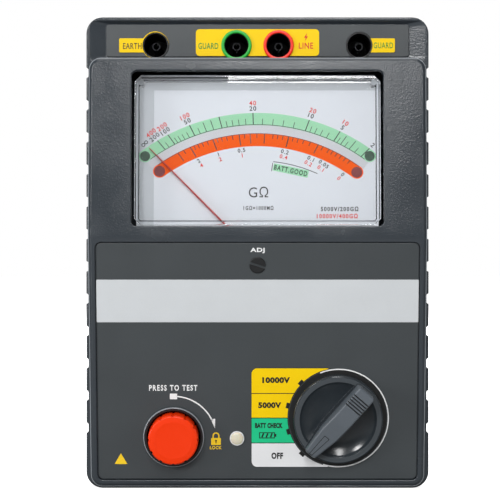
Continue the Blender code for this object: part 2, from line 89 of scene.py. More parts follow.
def ridge():
    """(y, z) on the bench of the line where the control plane meets the meter plane."""
    lines = []
    for joint in ("selector_turn", "pointer_swing"):
        at = BENCH.inverted() @ Vector(JOINTS[joint]["pos_m"])
        fall = math.tan(tilt_of(joint))
        lines.append((fall, at.z - fall * at.y))
    (fall_a, height_a), (fall_b, height_b) = lines
    y = (height_b - height_a) / (fall_a - fall_b)
    return y, height_a + fall_a * y


def face_plane(joint):
    turn = Matrix.Rotation(tilt_of(joint), 4, "X")
    return BENCH @ Matrix.Translation((0, RIDGE_Y, RIDGE_Z)) @ turn


RIDGE_Y, RIDGE_Z = ridge()
CONTROL = face_plane("selector_turn")
METER = face_plane("pointer_swing")


def roof(y):
    """Height of the face at y on the bench."""
    fall = math.tan(tilt_of("selector_turn" if y < RIDGE_Y else "pointer_swing"))
    return RIDGE_Z + fall * (y - RIDGE_Y)


def spot(joint, plane):
    """Where a joint's axis meets its plane."""
    at = plane.inverted() @ Vector(JOINTS[joint]["pos_m"])
    return at.x, at.y


def extent(node, plane=BENCH):
    """The box round a frame node at rest, in millimetres on a plane."""
    inverse = plane.inverted()
    points = [inverse @ vertex.co for vertex in frame["nodes"][node].data.vertices]
    return Extent(*(end(point[i] for point in points) for i in range(3) for end in (min, max)))


# Shapes, as bmeshes in millimetres

def area(box, radius, grow=0.0):
    return Area(box.x0 - grow, box.x1 + grow, box.y0 - grow, box.y1 + grow, radius + grow)


def outline(shape, inset=0.0, steps=8, breaks=()):
    """Points round an area, counter-clockwise from its right side; breaks add points on both long sides."""
    radius = max(shape.radius - inset, 0.05)
    x0, x1, y0, y1 = shape.x0 + inset, shape.x1 - inset, shape.y0 + inset, shape.y1 - inset
    centres = ((x1 - radius, y1 - radius), (x0 + radius, y1 - radius), (x0 + radius, y0 + radius), (x1 - radius, y0 + radius))
    points = []
    for quarter, (cx, cy) in enumerate(centres):
        for i in range(steps + 1):
            angle = math.radians(90 * (quarter + i / steps))
            points.append((cx + radius * math.cos(angle), cy + radius * math.sin(angle)))
        if quarter == 1:
            points += [(x0, y) for y in sorted(breaks, reverse=True)]
    return points + [(x1, y) for y in sorted(breaks)]


def circle(radius, steps=48, at=(0, 0), start=0.0):
    angles = [start + 2 * math.pi * i / steps for i in range(steps)]
    return [(at[0] + radius * math.cos(a), at[1] + radius * math.sin(a)) for a in angles]


def level(points, z):
    """Points at one height, or at a height that depends on y."""
    return [(x, y, z(y) if callable(z) else z) for x, y in points]


def edge(radius, steps=3):
    """(inset, drop) pairs round an edge, from the side to the top."""
    if not radius:
        return [(0.0, 0.0)]
    turns = [math.pi / 2 * i / steps for i in range(steps + 1)]
    return [(radius * (1 - math.cos(t)), radius * (1 - math.sin(t))) for t in turns]


def loft(rings, tube=False):
    """A closed solid through rings of equally many points; a tube joins its last ring to its first."""
    bm = bmesh.new()
    loops = [[bm.verts.new(point) for point in ring] for ring in rings]
    pairs = list(zip(loops, loops[1:]))
    if tube:
        pairs.append((loops[-1], loops[0]))
    else:
        bm.faces.new(loops[0][::-1])
        bm.faces.new(loops[-1])
    count = len(loops[0])
    for low, high in pairs:
        for i in range(count):
            j = (i + 1) % count
            bm.faces.new((low[i], low[j], high[j], high[i]))
    return bm


def prism(points, z0, z1):
    return loft([level(points, z0), level(points, z1)])


def slab(shape, z0, z1, top=0.3, bottom=0.0, steps=8):
    """A plate with rounded upper and lower edges."""
    rings = [level(outline(shape, inset, steps), z0 + rise) for inset, rise in edge(bottom)[::-1]]
    rings += [level(outline(shape, inset, steps), z1 - drop) for inset, drop in edge(top)]
    return loft(rings)


def pit(shape, z0, z1, lip=0.4, above=2.0, steps=8):
    """A cutter from z0 up through a surface at z1, which flares to round the edge of the opening."""
    rings = [level(outline(shape, 0, steps), z0)]
    rings += [level(outline(shape, -inset, steps), z1 - drop) for inset, drop in edge(lip)]
    wide = outline(shape, -lip, steps)
    return loft(rings + [level(wide, z1 + above)])


def turned(profile, steps=48, tube=False, at=(0, 0)):
    """Turned about z. The profile is (radius, z) up the outside, then for a hollow piece down the inside."""
    return loft([level(circle(radius, steps, at), z) for radius, z in profile], tube)


def arc(centre, radius, start, end, steps):
    """Points of an arc, in degrees."""
    angles = [math.radians(start + (end - start) * i / steps) for i in range(steps + 1)]
    return [(centre[0] + radius * math.cos(a), centre[1] + radius * math.sin(a)) for a in angles]


def round_hole(radius, z0, z1, lip=0.4, at=(0, 0), steps=48):
    """A round cutter whose edge at z1 is rounded over."""
    rim = [(radius + inset, z1 - drop) for inset, drop in edge(lip)]
    return turned([(radius, z0)] + rim + [(radius + lip, z1 + 3)], steps, at=at)


def gathered(shapes):
    """One bmesh of many."""
    whole = bmesh.new()
    for shape in shapes:
        mesh = bpy.data.meshes.new("part")
        shape.to_mesh(mesh)
        whole.from_mesh(mesh)
        bpy.data.meshes.remove(mesh)
        shape.free()
    return whole


def moved(shape, x=0.0, y=0.0, z=0.0, turn=0.0):
    """The shape turned by degrees about z, then shifted."""
    shape.transform(Matrix.Translation((x, y, z)) @ Matrix.Rotation(math.radians(turn), 4, "Z"))
    return shape


def stroke(points, width, z0, z1):
    """A flat line of one width through points."""
    sides = ([], [])
    for i, point in enumerate(points):
        before, after = Vector(points[max(i - 1, 0)]), Vector(points[min(i + 1, len(points) - 1)])
        across = (after - before).normalized().orthogonal() * width / 2
        sides[0].append(Vector(point) - across)
        sides[1].append(Vector(point) + across)
    return prism([(p.x, p.y) for p in sides[0] + sides[1][::-1]], z0, z1)


def lettering(text, height, width=None, bold=0.0, z0=0.0, z1=0.05, spacing=1.1):
    """Letters centred on the origin, of one height; a width squeezes them to fit."""
    curve = bpy.data.curves.new("letters", "FONT")
    curve.body, curve.extrude, curve.offset, curve.resolution_u = text, 0.5, bold, 3
    curve.space_character = spacing
    holder = bpy.data.objects.new("letters", curve)
    bpy.context.scene.collection.objects.link(holder)
    bpy.context.view_layer.update()
    mesh = bpy.data.meshes.new_from_object(holder.evaluated_get(bpy.context.evaluated_depsgraph_get()))
    bm = bmesh.new()
    bm.from_mesh(mesh)
    bpy.data.objects.remove(holder)
    bpy.data.meshes.remove(mesh)
    bmesh.ops.remove_doubles(bm, verts=bm.verts, dist=1e-5)
    low = [min(v.co[i] for v in bm.verts) for i in (0, 1)]
    high = [max(v.co[i] for v in bm.verts) for i in (0, 1)]
    scale = height / (high[1] - low[1])
    across = width / (high[0] - low[0]) if width else scale
    centre = Matrix.Translation((-(low[0] + high[0]) / 2, -(low[1] + high[1]) / 2, 0.5))
    bm.transform(Matrix.Translation((0, 0, z0)) @ Matrix.Diagonal((across, scale, z1 - z0, 1)) @ centre)
    return bm


# Pieces

def solid(name, shape, plane):
    """An object from a shape on a plane."""
    shape.transform(plane)
    bmesh.ops.recalc_face_normals(shape, faces=shape.faces)
    mesh = bpy.data.meshes.new(name)
    shape.to_mesh(mesh)
    shape.free()
    obj = bpy.data.objects.new(name, mesh)
    bpy.context.scene.collection.objects.link(obj)
    return obj


def piece(name, shape, plane, finish, node=None, body="casing"):
    """A visible piece that rides on a body and may stand for a node of the frame."""
    obj = solid(name, shape, plane)
    obj.data.materials.append(finish)
    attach(obj, body)
    if node:
        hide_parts(node)
    return obj


def combine(obj, shape, plane, operation="DIFFERENCE"):
    """Cuts a shape from an object, or joins it on."""
    tool = solid("tool", shape, plane)
    change = obj.modifiers.new("combine", "BOOLEAN")
    change.object, change.operation, change.solver = tool, operation, "EXACT"
    bpy.context.view_layer.update()
    mesh = bpy.data.meshes.new_from_object(obj.evaluated_get(bpy.context.evaluated_depsgraph_get()))
    obj.modifiers.clear()
    obj.data = mesh
    bpy.data.objects.remove(tool)


def smooth(obj, angle=38):
    """Smooth shading with crisp edges past an angle, and flat faces kept flat."""
    obj.data.shade_smooth()
    obj.data.set_sharp_from_angle(angle=math.radians(angle))
    weigh = obj.modifiers.new("weighted normals", "WEIGHTED_NORMAL")
    weigh.keep_sharp = True
    return obj


# Finishes

def srgb(code):
    """Linear colour of a six-digit hexadecimal sRGB code."""
    parts = [int(code[i:i + 2], 16) / 255 for i in (0, 2, 4)]
    return tuple(p / 12.92 if p <= 0.04045 else ((p + 0.055) / 1.055) ** 2.4 for p in parts) + (1.0,)


class Finish:
    """A Principled material whose colour, roughness and relief come from a node tree in object space."""

    def __init__(self, name, **values):
        self.material = bpy.data.materials.new(name)
        self.material.use_nodes = True
        self.tree = self.material.node_tree
        self.surface = self.tree.nodes["Principled BSDF"]
        self.set(self.surface, values)
        self.place = self.node("TexCoord").outputs["Object"]
        self.relief = None

    def set(self, node, values):
        for key, value in values.items():
            if isinstance(value, bpy.types.NodeSocket):
                self.tree.links.new(value, node.inputs[key])
            else:
                node.inputs[key].default_value = value

    def node(self, kind, values=None, **settings):
        made = self.tree.nodes.new("ShaderNode" + kind)
        for key, value in settings.items():
            setattr(made, key, value)
        self.set(made, values or {})
        return made

    def noise(self, size, detail=2.0, roughness=0.5, place=None, distortion=0.0):
        """Noise with cells of about a size in millimetres, from 0 to 1."""
        values = {"Vector": place or self.place, "Scale": 1 / (size * MM), "Detail": detail}
        values.update({"Roughness": roughness, "Distortion": distortion})
        return self.node("TexNoise", values).outputs["Fac"]

    def stretched(self, x=1.0, y=1.0, z=1.0):
        """Object space scaled per axis, for streaks."""
        return self.node("Mapping", {"Vector": self.place, "Scale": (x, y, z)}).outputs["Vector"]

    def cells(self, size, feature="SMOOTH_F1"):
        values = {"Vector": self.place, "Scale": 1 / (size * MM)}
        return self.node("TexVoronoi", values, feature=feature).outputs["Distance"]

    def between(self, value, low, high, start=0.0, end=1.0):
        """A value mapped from start..end onto low..high."""
        values = {"Value": value, "From Min": start, "From Max": end, "To Min": low, "To Max": high}
        return self.node("MapRange", values).outputs["Result"]

    def math(self, operation, a, b=0.0):
        made = self.node("Math", operation=operation)
        self.set(made, {0: a, 1: b})
        return made.outputs[0]

    def mix(self, factor, a, b):
        made = self.node("Mix", {"Factor": factor}, data_type="RGBA")
        self.set(made, {6: a, 7: b})
        return made.outputs[2]

    def tone(self, colour, spread, size=25.0, fine=0.6):
        """The colour, varied in broad soft patches and fine specks."""
        dark = tuple(c * (1 - spread) for c in colour[:3]) + (1.0,)
        light = tuple(min(1.0, c * (1 + spread)) for c in colour[:3]) + (1.0,)
        patches = self.noise(size, 3.0)
        specks = self.noise(fine, 2.0)
        blend = self.math("ADD", self.math("MULTIPLY", patches, 0.6), self.math("MULTIPLY", specks, 0.4))
        return self.mix(self.between(blend, 0.0, 1.0, 0.3, 0.7), dark, light)

    def bump(self, height, depth, strength=1.0):
        """Relief of a depth in millimetres, on top of any relief so far."""
        values = {"Height": height, "Distance": depth * MM, "Strength": strength}
        if self.relief:
            values["Normal"] = self.relief
        self.relief = self.node("Bump", values).outputs["Normal"]
        self.set(self.surface, {"Normal": self.relief})

    def worn_edges(self, reach=0.35):
        """1 on convex edges, broken up by noise, and 0 elsewhere."""
        rounded = self.node("Bevel", {"Radius": reach * MM}, samples=4).outputs["Normal"]
        flat = self.node("NewGeometry").outputs["Normal"]
        same = self.node("VectorMath", operation="DOT_PRODUCT")
        self.set(same, {0: rounded, 1: flat})
        mask = self.between(same.outputs["Value"], 1.0, 0.0, 0.82, 0.985)
        return self.math("MULTIPLY", mask, self.between(self.noise(1.8, 3.0), 0.15, 1.0, 0.35, 0.65))


def moulded(name, colour, roughness, grain=0.0, size=0.6, spread=0.06, wear=0.25, **values):
    """Moulded plastic: leather-like grain, soft tone changes, and edges polished lighter by handling."""
    finish = Finish(name, **values)
    base = finish.tone(colour, spread)
    rub_and_highlight = finish.noise(14.0, 3.0)
    rough = finish.between(rub_and_highlight, roughness - 0.05, roughness + 0.06, 0.3, 0.7)
    if wear:
        edges = finish.worn_edges()
        lighter = tuple(min(1.0, c * 1.5 + 0.05) for c in colour[:3]) + (1.0,)
        base = finish.mix(finish.math("MULTIPLY", edges, wear), base, lighter)
    finish.set(finish.surface, {"Base Color": base, "Roughness": rough})
    if grain:
        pebbles = finish.math("MULTIPLY", finish.cells(size), finish.between(finish.noise(size * 2.2, 3.0), 0.5, 1.2))
        finish.bump(pebbles, grain)
        finish.bump(finish.noise(size * 0.35, 2.0), grain * 0.25)
    else:
        finish.bump(finish.noise(0.5, 3.0), 0.004)
    return finish.material


def printed(name, colour, roughness=0.42, spread=0.03, **values):
    """Printed film or ink: even colour with a faint weave of the screen and a few thin patches; the dial's painted
    shadow uses it too.
    """
    finish = Finish(name, **values)
    screen = finish.noise(0.25, 1.0)
    finish.set(finish.surface, {
        "Base Color": finish.tone(colour, spread, 12.0, 0.4),
        "Roughness": finish.between(finish.noise(6.0, 3.0), roughness - 0.05, roughness + 0.08, 0.3, 0.7),
    })
    finish.bump(screen, 0.003)
    return finish.material


def metal(name, colour, roughness, streaks=(1.0, 1.0, 30.0), spread=0.08):
    """Machined or plated metal with fine tool marks and patches of tarnish."""
    finish = Finish(name, Metallic=1.0)
    marks = finish.noise(0.3, 3.0, place=finish.stretched(*streaks))
    patches = finish.noise(5.0, 4.0)
    finish.set(finish.surface, {
        "Base Color": finish.tone(colour, spread, 6.0, 0.3),
        "Roughness": finish.between(finish.math("ADD", marks, patches), roughness - 0.08, roughness + 0.12, 0.6, 1.4),
    })
    finish.bump(marks, 0.004)
    return finish.material


def clear_plastic():
    """Clear polycarbonate with faint scratches, which lets light through to the dial."""
    finish = Finish("clear_polycarbonate", Roughness=0.02, IOR=1.49, **{"Transmission Weight": 1.0})
    finish.set(finish.surface, {"Base Color": (0.985, 0.99, 1.0, 1.0)})
    scratches = finish.noise(0.12, 2.0, place=finish.stretched(1.0, 1.0, 14.0))
    finish.set(finish.surface, {"Roughness": finish.between(scratches, 0.012, 0.05, 0.55, 0.75)})
    finish.bump(finish.noise(9.0, 1.0), 0.004)
    path = finish.node("LightPath")
    passing = finish.math("MAXIMUM", path.outputs["Is Shadow Ray"], path.outputs["Is Diffuse Ray"])
    through = finish.node("BsdfTransparent", {"Color": (0.97, 0.975, 0.985, 1.0)})
    mixed = finish.node("MixShader", {0: passing, 1: finish.surface.outputs[0], 2: through.outputs[0]})
    finish.tree.links.new(mixed.outputs[0], finish.tree.nodes["Material Output"].inputs["Surface"])
    return finish.material


def winding():
    """Enamelled copper wire, wound in fine turns."""
    finish = Finish("copper_winding", Metallic=1.0)
    turns = finish.node("TexWave", {"Vector": finish.place, "Scale": 900.0, "Distortion": 0.6}, bands_direction="Z")
    shade = finish.mix(turns.outputs["Fac"], srgb("5A2410"), srgb("C87442"))
    finish.set(finish.surface, {"Base Color": shade, "Roughness": finish.between(finish.noise(2.0), 0.25, 0.45)})
    finish.bump(turns.outputs["Fac"], 0.05)
    return finish.material


def circuit_board():
    """Green solder mask with copper tracks under it and a scatter of bare pads."""
    finish = Finish("solder_mask")
    tracks = finish.node("TexBrick", {"Vector": finish.stretched(1.0, 1.0, 1.0), "Scale": 160.0, "Mortar Size": 0.035})
    pads = finish.between(finish.cells(3.2, "F1"), 1.0, 0.0, 0.14, 0.18)
    green = finish.mix(tracks.outputs["Fac"], finish.tone(srgb("0E4A26"), 0.12), srgb("2C7A45"))
    finish.set(finish.surface, {"Base Color": finish.mix(pads, green, srgb("C9B27A")), "Metallic": pads})
    finish.set(finish.surface, {"Roughness": finish.between(finish.noise(3.0), 0.3, 0.5)})
    finish.bump(tracks.outputs["Fac"], 0.03)
    return finish.material


def dry_cell():
    """A plain wrapped dry cell: dark sleeve with one lighter band and bare metal at both ends."""
    finish = Finish("dry_cell_wrap")
    along = finish.node("SeparateXYZ", {"Vector": finish.node("TexCoord").outputs["Generated"]}).outputs["X"]
    ramp = finish.node("ValToRGB", {"Fac": along})
    ramp.color_ramp.interpolation = "CONSTANT"
    stops = ((0.0, "B9BBBE"), (0.03, "1B2C4E"), (0.62, "C7A24A"), (0.72, "1B2C4E"), (0.965, "B9BBBE"))
    for position, code in stops:
        at_start = position == 0.0
        stop = ramp.color_ramp.elements[0] if at_start else ramp.color_ramp.elements.new(position)
        stop.position, stop.color = position, srgb(code)
    ramp.color_ramp.elements.remove(ramp.color_ramp.elements[-1])
    bare = finish.math("MAXIMUM", finish.math("LESS_THAN", along, 0.03), finish.math("GREATER_THAN", along, 0.965))
    finish.set(finish.surface, {"Base Color": ramp.outputs["Color"], "Metallic": bare})
    finish.set(finish.surface, {"Roughness": finish.between(finish.noise(4.0), 0.25, 0.4)})
    finish.bump(finish.noise(1.5, 2.0), 0.01)
    return finish.material


def knob_plastic():
    """Glossy grey plastic, painted lighter where the finger bar stands up as a painted highlight on its top, and with
    lighter worn edges.
    """
    finish = Finish("knob_grey")
    outward = CONTROL.to_3x3().col[2].normalized()
    height = finish.node("VectorMath", operation="DOT_PRODUCT")
    finish.set(height, {0: finish.place, 1: outward})
    foot = outward.dot(CONTROL.translation)
    # The bar's top is painted lighter than the rest of the knob: a painted highlight.
    raised = finish.between(height.outputs["Value"], 0.0, 1.0, foot + 5.0 * MM, foot + 9.0 * MM)
    scuffs = finish.noise(1.2, 3.0, place=finish.stretched(1.0, 1.0, 6.0))
    tone = finish.mix(raised, finish.tone(srgb("2B3136"), 0.06), finish.tone(srgb("5D646B"), 0.05))
    lighter = finish.mix(finish.math("MULTIPLY", finish.worn_edges(), 0.5), tone, srgb("9BA1A7"))
    gloss = finish.mix(raised, (0.17, 0.17, 0.17, 1.0), (0.36, 0.36, 0.36, 1.0))
    finish.set(finish.surface, {"Base Color": lighter})
    finish.set(finish.surface, {"Roughness": finish.math("ADD", gloss, finish.between(scuffs, -0.03, 0.05, 0.3, 0.7))})
    finish.bump(finish.noise(2.5, 2.0), 0.012)
    return finish.material


CASE = moulded("slate_case", srgb("363C42"), 0.22, grain=0.05, size=0.62, spread=0.05, wear=0.35)
# Light grey for thin lines along rims: a painted highlight.
EDGE_HIGHLIGHT = moulded("painted_edge_highlight", srgb("8F959B"), 0.2, spread=0.05, wear=0.0)
PANEL = moulded("panel_grey", srgb("3F4447"), 0.42, grain=0.010, size=0.45, spread=0.07, wear=0.3)
BLACK = moulded("black_plastic", srgb("141517"), 0.38, grain=0.006, size=0.4, spread=0.15, wear=0.15)
KNOB = knob_plastic()
# A lighter copy of the knob's grey for the skirt's flat top ring: a painted highlight.
KNOB_RIM = moulded("knob_rim_painted_highlight", srgb("42484D"), 0.4, grain=0.006, size=0.4, spread=0.05, wear=0.3)
BUTTON = moulded("orange_red_button", srgb("FF3A00"), 0.34, grain=0.004, size=0.5, spread=0.04, wear=0.1,
                 **{"Specular IOR Level": 0.3})
LENS = moulded("cream_lens", srgb("FFE8C8"), 0.25, spread=0.03, wear=0.0, **{"Subsurface Weight": 0.3})
GREEN_RING = moulded("green_collar", srgb("00B032"), 0.33, spread=0.05, wear=0.1)
RED_RING = moulded("red_collar", srgb("FA2600"), 0.33, spread=0.05, wear=0.1)
RUBBER = moulded("foot_rubber", srgb("1B1B1C"), 0.8, grain=0.02, size=0.5, spread=0.2, wear=0.2)
BAKELITE = moulded("brown_black_resin", srgb("1E1A18"), 0.3, grain=0.008, size=1.2, spread=0.2, wear=0.2)
YELLOW = printed("yellow_film", srgb("FFD400"), **{"Specular IOR Level": 0.2})
STRIP = printed("name_strip_film", srgb("D2D6D9"), 0.38)
LABEL_GREEN = printed("label_green", srgb("0CC98A"))
LABEL_GREY = printed("label_grey", srgb("EBECEE"))
BLACK_INK_AND_SHADE = printed("black_ink_and_painted_shade", srgb("0C0D0E"), 0.5)
INK_RED = printed("ink_red", srgb("D9200C"), 0.5)
INK_DARK_RED = printed("ink_dark_red", srgb("6A0B0E"), 0.5)
INK_GREEN = printed("ink_green", srgb("108A28"), 0.5)
INK_DARK_GREEN = printed("ink_dark_green", srgb("06381F"), 0.5)
INK_WHITE = printed("ink_white", srgb("F2F3F3"), 0.5)
INK_YELLOW = printed("ink_yellow", srgb("FFD21C"), 0.5)
DIAL_WHITE = printed("dial_silver_white", srgb("DCE0E5"), 0.42, spread=0.015)
# Grey for the painted shadow of the window's walls on the dial.
DIAL_PAINTED_SHADOW = printed("dial_painted_shadow_grey", srgb("C0C5C9"), 0.45)
DIAL_GREEN = printed("dial_band_green", srgb("98D6AA"), 0.5)
DIAL_ORANGE = printed("dial_band_orange", srgb("FF5E00"), 0.5, **{"Specular IOR Level": 0.1})
DIAL_GREY = printed("dial_band_grey", srgb("CBCCD0"), 0.5)
NEEDLE = printed("needle_red", srgb("BC140E"), 0.4)
BRASS = metal("turned_brass", srgb("D9B26A"), 0.28)
# Contacts darkened almost to black: painted shade deep in the socket bores.
SHADED_CONTACT = metal("contact_painted_shade", srgb("2E2F31"), 0.4)
STEEL = metal("plated_steel", srgb("C3C5C7"), 0.3)
MAGNET = metal("cast_magnet", srgb("6C6D70"), 0.45, spread=0.2)
CLEAR = clear_plastic()
COPPER = winding()
BOARD = circuit_board()
CELL = dry_cell()


# Rear case

def rear_case():
    """The drafted tub with its terminal shelf, finger grooves, battery opening, screw wells and foot seats."""
    box = extent("rear_case")
    draft, back_edge = 2.0, 3.0
    back_outline = Area(box.x0 + draft, box.x1 - draft, box.y0, box.y1 - 1, 7.0)
    rings = [level(outline(back_outline, inset), box.z0 + rise) for inset, rise in edge(back_edge, 5)[::-1]]
    front_outline = area(box, 7.0)
    rings += [level(outline(front_outline, inset), box.z1 - drop) for inset, drop in edge(0.7)]
    case = piece("rear_case_shell", loft(rings), BENCH, CASE, "rear_case")

    wall, floor = 3.4, box.z0 + 2.5
    inside = Area(box.x0 + wall, box.x1 - wall, wall, box.y1 - 3, 5.0)
    bottom = Area(inside.x0 + 2, inside.x1 - 2, wall, box.y1 - 4, 5.0)
    combine(case, loft([level(outline(bottom), floor), level(outline(inside), 12.0)]), BENCH)
    mouth = Area(inside.x0, inside.x1, wall, SHELF_BOTTOM, 5.0)
    combine(case, prism(outline(mouth), 11.0, box.z1 + 1), BENCH)
    combine(case, terminal_recess(box), BENCH)
    sleeves = [turned([(5.9, 10.0), (5.9, 15.5)], 48, at=middle(extent(f"{name}_socket"))) for name in SOCKETS]
    combine(case, gathered(sleeves), BENCH)
    combine(case, gathered(finger_grooves(box)), BENCH)

    screws = [extent(f"case_screw_{corner}") for corner in CORNERS]
    columns = [turned([(5.0, floor - 1), (5.0, 0.0)], 32, at=middle(screw)) for screw in screws]
    combine(case, gathered(columns), BENCH, "UNION")
    wells = [pocket_from_back(3.6, -20.0, box.z0, middle(screw)) for screw in screws]
    seats = [pocket_from_back(6.6, -37.2, box.z0, middle(extent(f"foot_{corner}")), 0.25) for corner in CORNERS]
    combine(case, gathered(wells + seats), BENCH)
    bores = [turned([(1.8, -21), (1.8, 1)], 24, at=middle(screw)) for screw in screws]
    combine(case, gathered(bores + [battery_opening(box), back_recess(box)]), BENCH)
    smooth(case)

    plate = Area(-39.0, 39.0, BACK_RECESS.y0 + 1.2, BACK_RECESS.y1 - 1.2, 1.8)
    film = slab(plate, box.z0 + 0.35, box.z0 + 0.6, 0.0, 0.1)
    piece("blank_back_plate", film, BENCH, STRIP)


def middle(box):
    return (box.x0 + box.x1) / 2, (box.y0 + box.y1) / 2


def pocket_from_back(radius, depth, surface, at, lip=0.5):
    """A round cutter from the back up to a depth, with its mouth rounded over."""
    mouth = [(radius + inset, surface + drop) for inset, drop in edge(lip)[::-1]]
    return turned([(radius + lip, surface - 1)] + mouth + [(radius, depth)], 40, at=at)


def from_back(shape, surface, depth, lip):
    """A cutter like a pit, through the back."""
    rings = [level(outline(shape, -lip), surface - 1)]
    rings += [level(outline(shape, -inset), surface + drop) for inset, drop in edge(lip)[::-1]]
    return loft(rings + [level(outline(shape), depth)])


def battery_opening(box):
    lid = extent("battery_cover")
    return from_back(Area(lid.x0 - 0.4, lid.x1 + 0.4, lid.y0 - 0.4, lid.y1 + 0.4, 3.0), box.z0, box.z0 + 4, 0.3)


def back_recess(box):
    return from_back(BACK_RECESS, box.z0, box.z0 + 0.6, 0.3)


def terminal_recess(box):
    """The sunken field for the sockets, with long slopes at its ends."""
    floor = extent("terminal_panel")
    low = Area(floor.x0 - 0.3, floor.x1 + 0.3, floor.y0 - 0.3, floor.y1 + 0.3, 1.2)
    high = Area(box.x0 + 1.6, box.x1 - 1.6, SHELF_BOTTOM + 2.4, box.y1 - 1.6, 2.3)
    bottom, top = floor.z0 - 0.2, box.z1
    ends = [(0.0, low), (0.04, low), (0.96, high), (1.0, high)]
    rings = []
    for share, shape in ends:
        swell = {0.0: 0.0, 0.04: -0.25, 0.96: 0.0, 1.0: -0.25}[share]
        rings.append(level(outline(shape, swell), bottom + (top - bottom) * share))
    return loft(rings + [level(outline(high, -0.25), top + 1)])


def finger_grooves(box):
    """Cutters for the grooves down both sides, one depth along the draft, run out towards the back."""
    first, pitch, width, depth, count = 23.5, 13.7, 4.2, 0.9, 12
    stations = ((-30.5, -0.2), (-29.6, 0.35), (-28.0, 0.7), (-26.0, 0.9), (box.z1 + 1, 0.9))
    height = box.z1 - 0.7 - (box.z0 + 3.0)
    cutters = []
    for side in (-1, 1):
        for i in range(count):
            centre = first + width / 2 + i * pitch
            rings = []
            for z, sunk in stations:
                surface = box.x1 - 2.0 * (box.z1 - 0.7 - z) / height if z < box.z1 - 0.7 else box.x1
                half = width / 2 * (0.75 + 0.25 * sunk / depth)
                share = max(0.0, sunk) / depth
                across = ((3.0, half + 0.36), (0.14, half + 0.34), (0.13 - 0.2 * share, half + 0.18),
                          (0.12 - 0.34 * share, half), (0.31 - sunk, half - 0.12), (0.1 - sunk, half - 0.32),
                          (-sunk, half - 0.6))
                points = [(side * (surface + out), centre + side * up) for out, up in across]
                points += [(side * (surface + out), centre - side * up) for out, up in across[::-1]]
                rings.append(level(points, z))
            cutters.append(loft(rings))
    return cutters


# Front cover

def cover_rings(shape, low, drops):
    """Rings up the wall of a roof-shaped solid and over its edge: (inset, drop below the roof) pairs."""
    ridge_points = (RIDGE_Y,)
    rings = [level(outline(shape, 0, 8, ridge_points), low)]
    return rings + [level(outline(shape, inset, 8, ridge_points), lambda y: roof(y) - drop) for inset, drop in drops]


def roof_solid(rings):
    """A loft whose top is folded along the ridge."""
    bm = loft(rings)
    bm.faces.ensure_lookup_table()
    ends = [v for v in bm.verts if abs(v.co.y - RIDGE_Y) < 1e-4]
    highest = sorted(ends, key=lambda v: v.co.z)[-2:]
    cap = next(face for face in bm.faces if len(face.verts) > 4 and highest[0] in face.verts and highest[1] in face.verts)
    bmesh.utils.face_split(cap, highest[0], highest[1])
    return bm


def front_cover():
    """The roof-shaped front shell: meter opening above the ridge, pocket for the control panel below it."""
    box = extent("front_cover")._replace(y0=1.2)
    rim = extent("rear_case").z1
    shape = area(box, 5.0)
    chamfer = 1.25
    crest = [(0.0, chamfer + 0.35), (0.05, chamfer + 0.12), (0.18, chamfer - 0.12)]
    crest += [(chamfer - 0.12, 0.18), (chamfer + 0.12, 0.05), (chamfer + 0.35, 0.0)]
    rings = cover_rings(Area(box.x0, box.x1, box.y0, box.y1, 5.0), rim + 0.55, crest)
    rings.insert(0, level(outline(shape, 0.25, 8, (RIDGE_Y,)), rim + 0.3))
    tongue = Area(box.x0 + 1.3, box.x1 - 1.3, box.y0 + 2.5, box.y1 - 2.8, 4.7)
    neck = [level(outline(tongue, 0, 8, (RIDGE_Y,)), z) for z in (12.5, rim + 0.3)]
    cover = piece("front_cover_shell", roof_solid(neck + rings), BENCH, CASE, "front_cover")

    hollow = Area(box.x0 + 3.1, box.x1 - 3.1, box.y0 + 4.3, box.y1 - 4.5, 3.0)
    combine(cover, roof_solid(cover_rings(hollow, 10.0, [(0.0, 3.7), (0.5, 3.2)])), BENCH)
    posts = []
    for corner in CORNERS:
        at = middle(extent(f"case_screw_{corner}"))
        posts.append(turned([(3.8, 0.3), (3.8, roof(at[1]) - 2)], 24, at=at))
    combine(cover, gathered(posts), BENCH, "UNION")
    pilots = [turned([(1.8, -1), (1.8, 15)], 24, at=middle(extent(f"case_screw_{corner}"))) for corner in CORNERS]
    combine(cover, gathered(pilots), BENCH)
    combine(cover, pit(METER_OPENING, -8.0, 0.0, 0.5), METER)
    combine(cover, pit(CONTROL_POCKET, -1.8, 0.0, 0.35), CONTROL)
    combine(cover, gathered(control_holes()), CONTROL)
    smooth(cover)
    painted_edge_highlight(shape, chamfer)


def painted_edge_highlight(shape, chamfer):
    """A painted highlight along the front cover's outer edge: a thin light line a twentieth of a millimetre proud."""
    section = ((0.1, 0.6), (-0.05, 0.55), (-0.05, 0.14), (0.0, -0.02), (0.27, -0.29), (0.5, -0.2))
    rings = []
    for inset, drop in section:
        height = chamfer + drop
        rings.append(level(outline(shape, inset, 8, (RIDGE_Y,)), lambda y: roof(y) - height))
    smooth(piece("front_cover_polished_edge", loft(rings, tube=True), BENCH, EDGE_HIGHLIGHT), 60)


def control_holes():
    """Through the cover's floor and the panel, with rounded edges at the panel's face."""
    return [
        round_hole(3.7, -9, PANEL_FACE, 0.25, ZERO),
        round_hole(12.0, -9, PANEL_FACE, 0.2, TEST),
        round_hole(3.4, -9, PANEL_FACE, 0.15, LAMP),
        round_hole(4.5, -9, PANEL_FACE, 0.0, SELECT),
    ]


CORNERS = ("bottom_left", "bottom_right", "top_left", "top_right")
SOCKETS = ("earth", "guard", "line", "guard_aux")
SHELF_BOTTOM = 178.7
BACK_RECESS = Area(-40.0, 40.0, 112.0, 150.0, 2.5)
ZERO = spot("zero_screw_turn", CONTROL)
TEST = spot("button_lock", CONTROL)
SELECT = spot("selector_turn", CONTROL)
LAMP = middle(extent("led_lens", CONTROL))
panel_box = extent("control_panel", CONTROL)
PANEL_FACE = panel_box.z1
CONTROL_POCKET = area(panel_box, 2.2, 0.3)
METER_OPENING = Area(-52.4, 52.4, 4.0, 68.9, 2.3)


# Control panel

